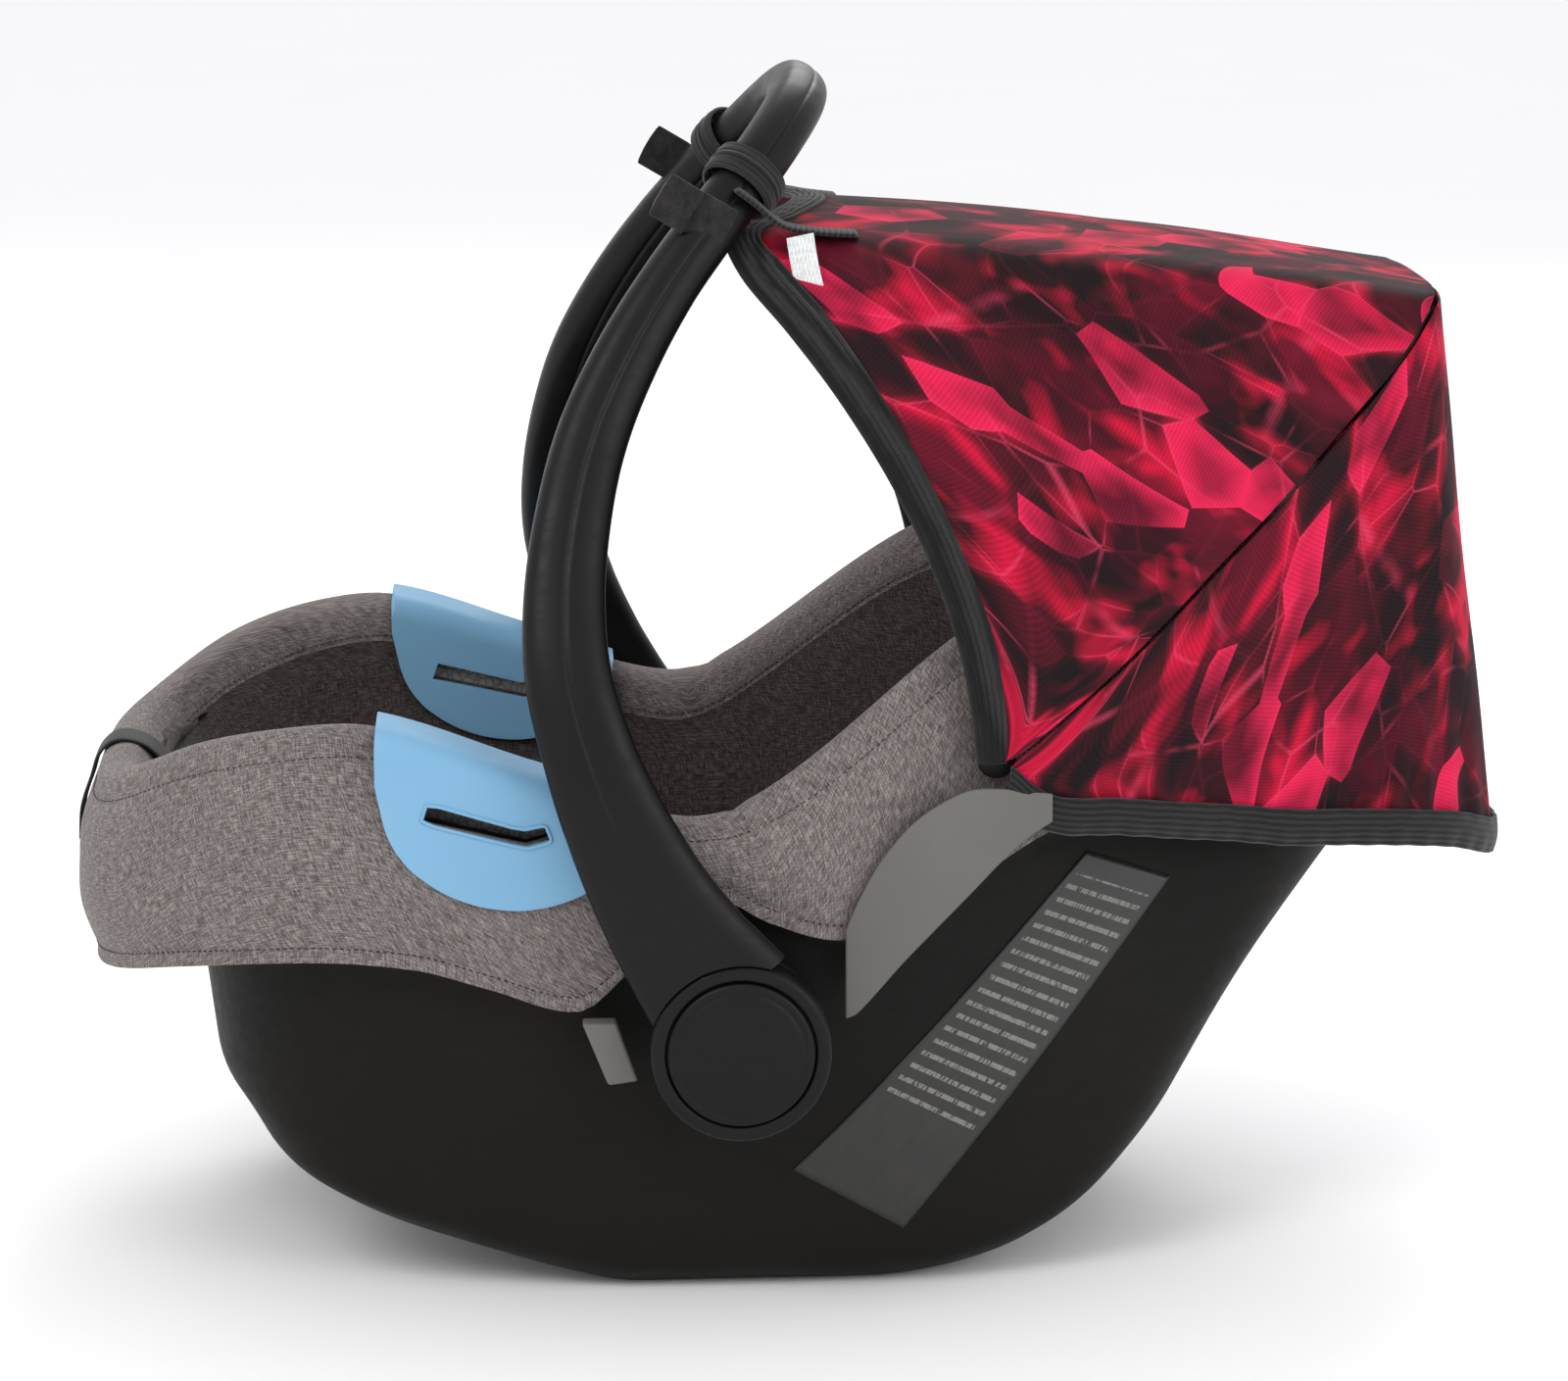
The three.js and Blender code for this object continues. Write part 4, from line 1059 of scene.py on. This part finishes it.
def build_hubs():
    for side, word in SIDES:
        for piece, section, plastic_name, body, slot in (
            (f"handle_hub_{word}", HUB_SECTION, "handle", "handle", "handle"),
            (f"hub_cap_{word}", CAP_SECTION, "handle", "handle", "handle"),
            (f"lock_ring_{word}", LOCK_SECTION, "shell", "seat", "trim"),
        ):
            name = f"{piece.removeprefix('handle_')}_look"
            outline = [(side * x, radius) for x, radius in section]
            finish_look(turned(name, outline, 0, HUB_Z, MATERIALS[plastic_name]), body, slot, piece)
        bolt = disc(f"bolt_{word}_look", side * 191, side * 216.6, 0, HUB_Z, 6, MATERIALS["steel"], 48, 0.6)
        finish_look(bolt, "handle", "steel", f"pivot_bolt_{word}")
        plunger = disc(f"plunger_{word}_look", side * 185, side * 198, -24, HUB_Z - 10, 6,
                       MATERIALS["steel"], 48, 0.8)
        finish_look(plunger, "seat", "steel", f"lock_plunger_{word}")


# ------------------------------------------------------------------ plastic parts on the wings

GUIDE_FOOT = profile([
    (-167, 256), (-162, 234), (-154, 220), (-144, 211), (-132, 204), (-116, 199),
    (-96, 198), (-74, 204), (-52, 218)])
PANEL_LOWER = profile([(50, 143), (56, 146), (80, 173), (108, 201), (132, 224), (150, 236)])
PANEL_UPPER = profile([(50, 186), (56, 200), (66, 218), (81, 236), (98, 247), (112, 251), (150, 247)])


def mirror_points(grid, side):
    return grid * np.array([side, 1, 1])


def bevelled(obj, millimetres, segments=3, degrees=35):
    bevel = obj.modifiers.new("bevel", "BEVEL")
    bevel.width = millimetres * 0.001
    bevel.segments = segments
    bevel.limit_method = "ANGLE"
    bevel.angle_limit = math.radians(degrees)
    bevel.harden_normals = False
    return shade_by_angle(apply_modifiers(obj), 50)


def guide_rows():
    """The guide's saddle: rows from the outer foot over the crest to the inner foot."""
    share = (1 - np.cos(np.linspace(0, math.pi / 2, 70))) ** 0.8
    y = -167 + 115 * share / share[-1]
    top, foot = crest_height(y) + 1.2, GUIDE_FOOT(y)
    outer, inner = half_at(WING_WALL, y) + 5.6, half_at(SEAT_WALL, y) - 5.0
    rows = [np.stack([outer, y, foot], axis=1), np.stack([outer, y, top], axis=1),
            np.stack([inner, y, top], axis=1), np.stack([inner, y, foot + 8], axis=1)]
    return filleted(rows, [9, 9], between=16, corner=10)


def build_guides():
    for side, word in SIDES:
        grid = mirror_points(guide_rows(), side)
        guide = grid_object(f"guide_{word}", grid, MATERIALS["guide"], closed=False, flip=side < 0)
        thicken(guide, 3.2, 1.0)
        cut_slot(guide)
        bevelled(guide, 0.9, 3)
        finish_look(guide, "seat", "guide", f"belt_guide_{word}")
        lip = slot_lip(side)
        finish_look(lip, "seat", "guide")


def slot_lip(side):
    """A small raised bead round the belt slot on the outer wall."""
    outline = np.array(BELT_SLOT, float)
    centre = outline.mean(axis=0)
    outline = centre + (outline - centre) * np.array([1.012, 1.12])
    loop = np.vstack([outline, outline[:1]])
    spots = []
    for a, b in zip(loop, loop[1:]):
        spots += [a + (b - a) * s for s in (0.12, 0.35, 0.65, 0.88)]
    spots = np.array(spots)
    x = half_at(WING_WALL, spots[:, 0]) + 8.9
    line = np.stack([side * x, spots[:, 0], spots[:, 1]], axis=1)
    return closed_cord(f"slot_lip_{'right' if side > 0 else 'left'}", line, 0.9, MATERIALS["guide"])


def closed_cord(name, line, radius, material, sides=10, count=220):
    """A closed cord through points."""
    spots = even_points(line, 1.0, closed=True)[0]
    spots = spots[np.linspace(0, len(spots) - 1, min(count, len(spots))).astype(int)]
    along = unit(np.roll(spots, -1, axis=0) - np.roll(spots, 1, axis=0))
    grid = rings_round(spots, unit(np.cross(along, [1.0, 0, 0])), along, radius, sides)
    faces = grid_faces(len(spots), sides, True)
    last = (len(spots) - 1) * sides
    faces += [(last + c, last + (c + 1) % sides, (c + 1) % sides, c) for c in range(sides)]
    return face_outwards(new_object(name, grid.reshape(-1, 3), faces, material))


def build_trim():
    y = np.linspace(50, 147, 60)
    x = 184.4 - 9.5 * smooth((y - 75) / 68)
    for side, word in SIDES:
        rows = [np.stack([side * x, y, PANEL_LOWER(y) + (PANEL_UPPER(y) - PANEL_LOWER(y)) * v], axis=1)
                for v in np.linspace(0, 1, 12)]
        panel = grid_object(f"trim_{word}", np.array(rows), MATERIALS["trim"], closed=False, flip=side < 0)
        thicken(panel, 2.4, 1.0)
        bevelled(panel, 0.8, 3)
        finish_look(panel, "seat", "trim", f"trim_panel_{word}")
        outline = [(-73, 145), (-57, 145), (-47, 117), (-61, 115)]
        button = plate_solid(outline, side * 184, side * 196, f"button_{word}")
        button.data.materials[0] = MATERIALS["trim"]
        bevelled(button, 1.6, 4)
        finish_look(button, f"button_{word}", "trim", f"release_button_{word}")
        turns = np.linspace(0, 1, 140)
        coil = Curve(np.stack([side * (174.0 + 9.0 * turns), -60 + 3.3 * np.cos(turns * 40),
                               131 + 3.3 * np.sin(turns * 40)], axis=1))
        spring = tube(f"spring_{word}", coil, 0.55, MATERIALS["steel"], steps=220, sides=8)
        finish_look(spring, "seat", "steel", f"button_spring_{word}")


def tree_of(name):
    mesh = bpy.data.objects[name].data
    return BVHTree.FromPolygons([v.co for v in mesh.vertices], [tuple(p.vertices) for p in mesh.polygons])


def laid_on(tree, line, lift):
    """A line moved onto a surface, a little way off it."""
    made = []
    for point in line:
        spot, normal = tree.find_nearest(Vector(to_frame([point])[0]))[:2]
        made.append(np.array(spot) * 1000 - np.array([0, PIVOT_Y, 0]) + np.array(normal) * lift)
    return made


def build_labels():
    tree = tree_of("shell_look")
    corners = [(27, 62), (80, 30), (212, 190), (170, 206)]
    for side, word in SIDES:
        rows, uv = [], []
        for u in np.linspace(0, 1, 61):
            row = []
            for v in np.linspace(0, 1, 25):
                low = np.array(corners[0]) * (1 - v) + np.array(corners[1]) * v
                high = np.array(corners[3]) * (1 - v) + np.array(corners[2]) * v
                y, z = low * (1 - u) + high * u
                start = Vector((side * 0.4, (y + PIVOT_Y) / 1000, z / 1000))
                spot = tree.ray_cast(start, Vector((-side, 0, 0)))[0]
                row.append((spot.x * 1000 + side * 0.5, y, z))
                uv.append((v if side > 0 else 1 - v, u))
            rows.append(row)
        film = grid_object(f"film_{word}", np.array(rows), MATERIALS["label"], closed=False,
                           uv=np.array(uv), flip=side > 0)
        thicken(film, 0.4, 0.0)
        finish_look(film, "seat", "label", f"label_{word}")


# ------------------------------------------------------------------ padding and harness

def puffed(node, material, cap, name, seams=()):
    """A padded cushion: the CAD solid inflated by cloth pressure, then given its quilting."""
    obj = node_copy(node, name)
    remesh = obj.modifiers.new("remesh", "REMESH")
    remesh.mode = "VOXEL"
    remesh.voxel_size = 0.0042
    apply_modifiers(obj)
    start = np.array([v.co for v in obj.data.vertices])
    cloth = obj.modifiers.new("puff", "CLOTH")
    cloth.settings.use_pressure = True
    cloth.settings.uniform_pressure_force = 4
    cloth.settings.effector_weights.gravity = 0
    cloth.settings.quality = 5
    scene = bpy.context.scene
    for step in range(1, 21):
        scene.frame_set(step)
    apply_modifiers(obj)
    scene.frame_set(1)
    end = np.array([v.co for v in obj.data.vertices])
    move = end - start
    far = np.linalg.norm(move, axis=1, keepdims=True)
    end = start + move * np.minimum(1.0, cap * 0.001 / np.maximum(far, 1e-9))
    obj.data.vertices.foreach_set("co", end.ravel())
    relax = obj.modifiers.new("relax", "SMOOTH")
    relax.iterations = 6
    smoother = obj.modifiers.new("smoother", "SUBSURF")
    smoother.levels = smoother.render_levels = 1
    apply_modifiers(obj)
    low, high = (np.array(corner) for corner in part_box(node))
    points = np.array([v.co for v in obj.data.vertices])
    normals = np.array([v.normal for v in obj.data.vertices])
    push = np.zeros(len(points))
    for axis, place in seams:
        at = low[axis] + (high[axis] - low[axis]) * place
        push -= 0.0022 * np.exp(-((points[:, axis] - at) / 0.0032) ** 2)
    push += 0.0004 * np.sin(points[:, 1] * 330) * np.sin(points[:, 0] * 260 + 1)
    points += normals * (push * (normals[:, 2] > 0.1))[:, None]
    obj.data.vertices.foreach_set("co", points.ravel())
    obj.data.update()
    return finish_piece(obj, node, material)


def build_cushions():
    """The three cushions, each with its cap on the puffing in mm and its quilting lines."""
    for node, cap, seams in (
        ("seat_cushion", 3.0, ((0, 0.22), (0, 0.78))),
        ("back_cushion", 3.0, ((1, 0.5), (0, 0.2), (0, 0.8))),
        ("head_cushion", 3.0, ((0, 0.5),)),
    ):
        puffed(node, MATERIALS["insert"], cap, f"{node}_look", seams)


def ribbon(name, line, wide, thick, material, steps=60, across=(1, 0, 0), crown=0.0, sides=9):
    """A strap whose underside follows a line, with rounded edges and cloth coordinates."""
    curve = Curve(line)
    t = curve.even(steps)
    centre, along = curve.at(t), curve.heading(t)
    side = np.tile(np.array(across, float), (len(t), 1))
    up = unit(np.cross(along, side))
    up *= np.where(up[:, 2:] < 0, -1.0, 1.0) if abs(along[:, 2]).max() < 0.98 else np.sign(up[:1, 2:])
    turn = np.linspace(0, 2 * math.pi, 2 * sides + 1)[:-1]
    flat = signed_power(np.cos(turn), 0.35)
    rise = signed_power(np.sin(turn), 0.7)
    ends = np.minimum(1.0, np.sin(np.linspace(0, math.pi, len(t))) * 9 + 0.35)[:, None]
    bulge = thick * (0.5 + 0.5 * rise)[None, :] * np.ones((len(t), 1))
    if crown:
        bulge = bulge * (1 + crown * (1 - flat[None, :] ** 2)) * ends
    width = wide / 2 * (flat[None, :] * (ends if crown else 1.0))
    grid = centre[:, None, :] + side[:, None, :] * width[:, :, None] + up[:, None, :] * bulge[:, :, None]
    run = run_length(centre)[:, None]
    uv = np.stack([np.broadcast_to(width, grid.shape[:2]), np.broadcast_to(run, grid.shape[:2])], axis=2)
    return capped(name, grid, material, uv * 0.001)


def over_floor(x, y, height):
    """A point at a height over the seat's floor."""
    return (x, y, float(floor_height(y)) + height)


def mirror_line(line, side):
    return [(side * x, y, z) for x, y, z in line]


def strap(name, line, wide, thick, slot, node, steps, **shape):
    """A ribbon fixed to the seat. Its material and its slot have the same name."""
    return finish_look(ribbon(name, line, wide, thick, MATERIALS[slot], steps, **shape), "seat", slot, node)


def build_harness():
    buckle_z = float(floor_height(-112)) + 50
    shoulder = [over_floor(48, 148, 28), over_floor(46, 110, 32), over_floor(40, 50, 36),
                over_floor(32, -10, 46), (26, -60, buckle_z + 4), (22, -87, buckle_z + 3)]
    pad = [over_floor(46, 118, 36), over_floor(40, 50, 41), over_floor(33, 0, 49), over_floor(30, -30, 58)]
    hip = [(39, -106, buckle_z + 1), over_floor(52, -103, 44), over_floor(70, -98, 38),
           over_floor(84, -94, 31)]
    for side, word in SIDES:
        strap(f"strap_{word}", mirror_line(shoulder, side), 30, 2, "webbing", f"shoulder_strap_{word}", 90)
        cushion = strap(f"pad_{word}", mirror_line(pad, side), 46, 7, "pad", f"shoulder_pad_{word}", 90,
                        crown=0.35, sides=20)
        strap(f"hip_{word}", mirror_line(hip, side), 22, 2, "webbing", f"hip_strap_{word}", 50,
              across=(0, 1, 0))
        rounded(f"buckle_tongue_{word}", MATERIALS["steel"], 0.7, 3)
    crotch = [(0, -133, buckle_z - 5), (0, -140, buckle_z - 7), over_floor(0, -147, 31),
              over_floor(0, -151, 27)]
    strap("crotch_look", crotch, 30, 2, "webbing", "crotch_strap", 50)
    front = [(0, -134, buckle_z + 6), (0, -146, buckle_z + 2), over_floor(0, -158, 36),
             over_floor(0, -167, 30)]
    lap = strap("crotch_pad_look", front, 48, 5, "pad", "crotch_pad", 60, crown=0.25, sides=20)
    rounded("buckle_body", MATERIALS["buckle"], 0.8, 5)
    rounded("buckle_button", MATERIALS["red_button"], 0.6, 5)
    start = [over_floor(0, -222, 8), over_floor(0, -246, 13)]
    over_lip = [(0, -272, 227), (0, -287, 237.5), (0, -299, 240), (0, -309, 236.5), (0, -315.5, 224),
                (0, -317.5, 208), (0, -317.5, 192)]
    tail = start + laid_on(tree_of("cover_look"), over_lip, 0.8)
    strap("adjuster_look", tail, 26, 2, "webbing", "adjuster_strap", 120)
    liner = rounded("foam_liner", MATERIALS["foam"], 3.0, 2)


# ------------------------------------------------------------------ canopy

BAND_EDGE = [
    (174, 113, 262), (174, 110, 285), (171, 104, 316), (164, 92, 352), (154, 74, 390),
    (140, 50, 428), (124, 28, 456), (104, 6, 481), (84, 0, 496), (50, 20, 501), (0, 36, 504)]
FRONT_EDGE = [
    (174, 124, 262), (173, 123, 288), (169, 117, 322), (162, 104, 358), (153, 86, 397),
    (139, 64, 434), (122, 44, 462), (103, 24, 484), (84, 14, 496), (50, 34, 501), (0, 50, 504)]
BOW_EDGE = [
    (176, 127, 262), (171, 150, 280), (164, 176, 301), (155, 202, 324), (143, 228, 348), (130, 254, 371),
    (116, 282, 399), (102, 307, 424), (92, 325, 445), (80, 337, 462), (56, 342, 464), (0, 346, 463)]
HEM_EDGE = [
    (174, 127, 256), (170, 146, 241), (158, 180, 236), (146, 209, 231), (132, 238, 226),
    (122, 266, 221), (110, 294, 218), (96, 326, 214), (77, 353, 208), (46, 375, 197), (0, 384, 190)]


def cloth_rows(first, second, crown, rows, columns, gather=0.0):
    """Cloth between two edges: crowned, with tension creases and gathers at its second edge."""
    a, b = mirrored_curve(first), mirrored_curve(second)
    v = np.linspace(0, 1, columns)
    p, q = a.at(v), b.at(v)
    gap = np.linalg.norm(q - p, axis=1, keepdims=True)
    made = []
    for u in np.linspace(0, 1, rows):
        point = p + (q - p) * (1 + (gap - 2) * u) / gap
        bulge = crown * math.sin(math.pi * u) * np.sin(math.pi * v)
        point = point + np.stack([point[:, 0] * 0.006 * bulge, 0 * bulge,
                                  bulge * (1 - np.abs(point[:, 0]) / 260)], axis=1)
        made.append(point)
    grid = np.array(made)
    normal = grid_normals(grid, closed=False)
    middle = np.array([0, 200, 300])
    normal *= np.sign(np.sum(normal * (grid - middle), axis=2, keepdims=True).mean())
    u = np.linspace(0, 1, rows)[:, None]
    arc = run_length(q)[None, :]
    tuck = np.sin(arc / 3.1 + 1.4 * np.sin(arc / 17.0)) * (0.6 + 0.4 * np.sin(arc / 29.0))
    push = gather * tuck * smooth((u - 0.72) / 0.28)
    push = push + 0.5 * gather * np.sin(arc / 11.0) * smooth((u - 0.4) / 0.6)
    tension = 0.7 * np.sin(u * 9 + 6 * np.sin(arc / 70.0)) * np.sin(math.pi * u)
    push = push + tension * smooth(v * 8) * smooth((1 - v) * 8)
    return grid + normal * push[:, :, None], normal


def canopy_panel(name, grid, normal):
    """A cloth panel: printed outside, lining inside, one thickness of cloth."""
    outer = grid_object(name, grid + normal * 2.2, MATERIALS["canopy"], closed=False, uv=cloth_uv(grid))
    if np.dot(np.array(outer.data.polygons[0].normal), normal[0, 0]) < 0:
        outer.data.flip_normals()
    outer.data.materials.append(MATERIALS["lining"])
    return thicken(outer, 1.0, lining=1)


def build_canopy():
    front, front_normal = cloth_rows(FRONT_EDGE, BOW_EDGE, 6, 70, 240)
    rear, rear_normal = cloth_rows(BOW_EDGE, HEM_EDGE, 1, 60, 300, gather=1.5)
    panel = canopy_panel("canopy_front", front, front_normal)
    finish_look(panel, "canopy_hoop", "canopy", "canopy_front_panel")
    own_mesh(panel)
    back = canopy_panel("canopy_rear", rear, rear_normal)
    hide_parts("canopy_rear_panel")
    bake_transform(back)
    build_canopy_band()
    build_canopy_hem()
    bow_points = []
    for x, y, z in BOW_EDGE:
        top = float(smooth((z - 380) / 80))
        bow_points.append((x - 7 * (1 - top), y - 4.5, z - 7.5 * top))
    hoop = tube("hoop_look", mirrored_curve(bow_points), 3.0, MATERIALS["handle"], steps=200, sides=16)
    finish_look(hoop, "canopy_hoop", "canopy", "canopy_bow")
    for side, word in SIDES:
        clip = disc(f"clip_{word}_look", side * 160, side * 164.5, 122, 261, 9, MATERIALS["handle"], 64, 1.0)
        finish_look(clip, "seat", "canopy", f"canopy_clip_{word}")


def band_frame(first, second, inside):
    """Points along a band's two edges, its outward direction and the run along it."""
    v = np.linspace(0, 1, 420)
    p, q = mirrored_curve(first).at(v), mirrored_curve(second).at(v)
    out = unit(np.cross(np.gradient(p, axis=0), q - p))
    out *= np.sign(np.sum(out * (p - np.array(inside)), axis=1)).mean()
    return p, q, out, run_length(p)


def elastic_band(name, rows, thick, body, node):
    """A ribbed band from its rows, and the grid it was made from."""
    grid = np.array(rows)
    band = grid_object(name, grid, MATERIALS["elastic"], closed=False, uv=cloth_uv(grid))
    thicken(band, thick, 0.0)
    return finish_look(face_outwards(band), body, "elastic", node), grid


def build_canopy_band():
    """The ribbed elastic that draws in the canopy's front edge."""
    p, q, out, arc = band_frame(BAND_EDGE, FRONT_EDGE, (0, 150, 300))
    rows = []
    for share in np.linspace(-0.05, 1.12, 36):
        rib = 0.55 * math.cos(share * 5 * 2 * math.pi) + 1.2 * max(0.0, 1 - (2 * share - 1) ** 2)
        pucker = 0.25 * np.sin(arc / 1.9) * math.sin(math.pi * min(max(share, 0), 1))
        rows.append(p + (q - p) * share + out * (1.6 + rib + pucker)[:, None])
    band, grid = elastic_band("canopy_band", rows, 2.2, "canopy_hoop", "canopy_front_elastic")
    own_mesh(band)


def build_canopy_hem():
    """The gathered black binding round the canopy's foot."""
    foot = [(x * 0.985, y - 1, z - 12) for x, y, z in HEM_EDGE]
    p, q, out, arc = band_frame(HEM_EDGE, foot, (0, 200, 200))
    rows = []
    for share in np.linspace(-0.5, 1, 18):
        roll = 1.6 * math.sin(math.pi * (share + 0.5) / 1.5)
        rows.append(p + (q - p) * share + out * (2.9 + roll + 0.5 * np.sin(arc / 2.6) * share)[:, None])
    hem, grid = elastic_band("canopy_binding", rows, 2.0, "seat", "canopy_hem")


LOOP_AT = 0.414                  # share of the handle's curve at which a loop sits


def build_loops():
    """Elastic loops round the handle's arms, their rounded tabs, and the strands to the canopy."""
    for side, word in SIDES:
        t = LOOP_AT if side > 0 else 1 - LOOP_AT
        centre, along, deep, thin = (axis[0] for axis in handle_frames(np.array([t])))
        turn = np.linspace(0, 2 * math.pi, 97)[:-1]
        grid = []
        for share in np.linspace(-1, 1, 15):
            lift = 16.4 + 0.35 * math.cos(share * 12) + 0.6 * (1 - share * share)
            spin = (np.cos(turn)[:, None] * thin + np.sin(turn)[:, None] * deep)
            grid.append(centre + along * share * 8 + spin * lift)
        grid = np.array(grid)
        band = grid_object(f"loop_{word}", grid, MATERIALS["elastic"], uv=cloth_uv_closed(grid))
        thicken(band, 1.8, 1.0)
        finish_look(face_outwards(band), "handle", "elastic", f"canopy_loop_{word}")
        tab_line = [(113, -33, 521.5), (114, -17, 512), (113, -1, 502.5)]
        tab = ribbon(f"loop_tab_{word}", mirror_line(tab_line, side), 22, 2.6, MATERIALS["pad"], 60,
                     across=(0, 0.51, 0.86), crown=0.3, sides=16)
        finish_look(tab, "handle", "elastic")
        strand_line = [(103, 2, 521), (99, 11, 514), (92, 25, 502.5), (86, 42, 498.5), (80, 62, 496.5)]
        strand = ribbon(f"canopy_strand_{word}", mirror_line(strand_line, side), 19, 2.4,
                        MATERIALS["elastic"], 70, crown=0.3, sides=14)
        finish_look(strand, "canopy_hoop", "elastic")
        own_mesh(strand)
    tag_line = [(104.5, 33, 500), (107.5, 35, 487), (111.5, 38, 473)]
    tag = ribbon("blank_tag", tag_line, 13, 0.7, MATERIALS["tag"], 30, across=(0, 0.98, 0.2))
    finish_look(tag, "canopy_hoop", "canopy")
    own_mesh(tag)


# ------------------------------------------------------------------ scene

def light(name, place, size, power, color):
    lamp = bpy.data.lights.new(name, "AREA")
    lamp.shape = "RECTANGLE"
    lamp.size, lamp.size_y = size
    lamp.energy = power
    lamp.color = color
    obj = bpy.data.objects.new(name, lamp)
    obj.location = place
    obj.rotation_euler = (Vector((0, 0, 0.25)) - Vector(place)).to_track_quat("-Z", "Y").to_euler()
    bpy.context.scene.collection.objects.link(obj)


def build_stage():
    s = Surface("studio_paper")
    s.color(s.mix(s.noise(3.0, 2.0), srgb(250, 250, 250), srgb(253, 253, 253)))
    s.rough(s.ramp(s.noise(8.0, 2.0), 0.3, 0.7, 0.85, 0.95))
    far, below = 40, -0.0005         # metres
    corners = [(-far, -far, below), (far, -far, below), (far, far, below), (-far, far, below)]
    floor = new_object("floor", corners, [(0, 1, 2, 3)], s.material, metres=True)
    world = bpy.data.worlds.new("studio")
    world.use_nodes = True
    world.node_tree.nodes["Background"].inputs["Color"].default_value = (*srgb(250, 250, 252), 1.0)
    world.node_tree.nodes["Background"].inputs["Strength"].default_value = 1.0
    bpy.context.scene.world = world
    bpy.context.scene.view_settings.view_transform = "Standard"
    light("key", (2.2, -1.9, 2.8), (1.6, 1.6), 38, (1.0, 0.98, 0.95))
    light("fill", (2.4, 2.4, 1.4), (2.0, 1.6), 26, (0.96, 0.98, 1.0))
    light("rim", (-2.2, 0.6, 2.2), (1.6, 1.6), 30, (1.0, 1.0, 1.0))


def build_camera():
    azimuth, elevation, distance = math.radians(87), math.radians(12), 2.5
    target = Vector((0, -0.00014, 0.26043))
    back = Vector((math.sin(azimuth) * math.cos(elevation), -math.cos(azimuth) * math.cos(elevation),
                   math.sin(elevation)))
    camera = bpy.data.cameras.new("camera")
    camera.lens = 115.3
    camera.sensor_width = 36
    obj = bpy.data.objects.new("camera", camera)
    obj.location = target + back * distance
    obj.rotation_euler = back.to_track_quat("Z", "Y").to_euler()
    bpy.context.scene.collection.objects.link(obj)
    bpy.context.scene.camera = obj


def main():
    build_stage()
    build_camera()
    build_shell()
    grid, down = build_cover()
    build_cover_seams(grid, down)
    build_handle()
    build_hubs()
    build_guides()
    build_trim()
    build_labels()
    build_cushions()
    build_harness()
    build_canopy()
    build_loops()


main()
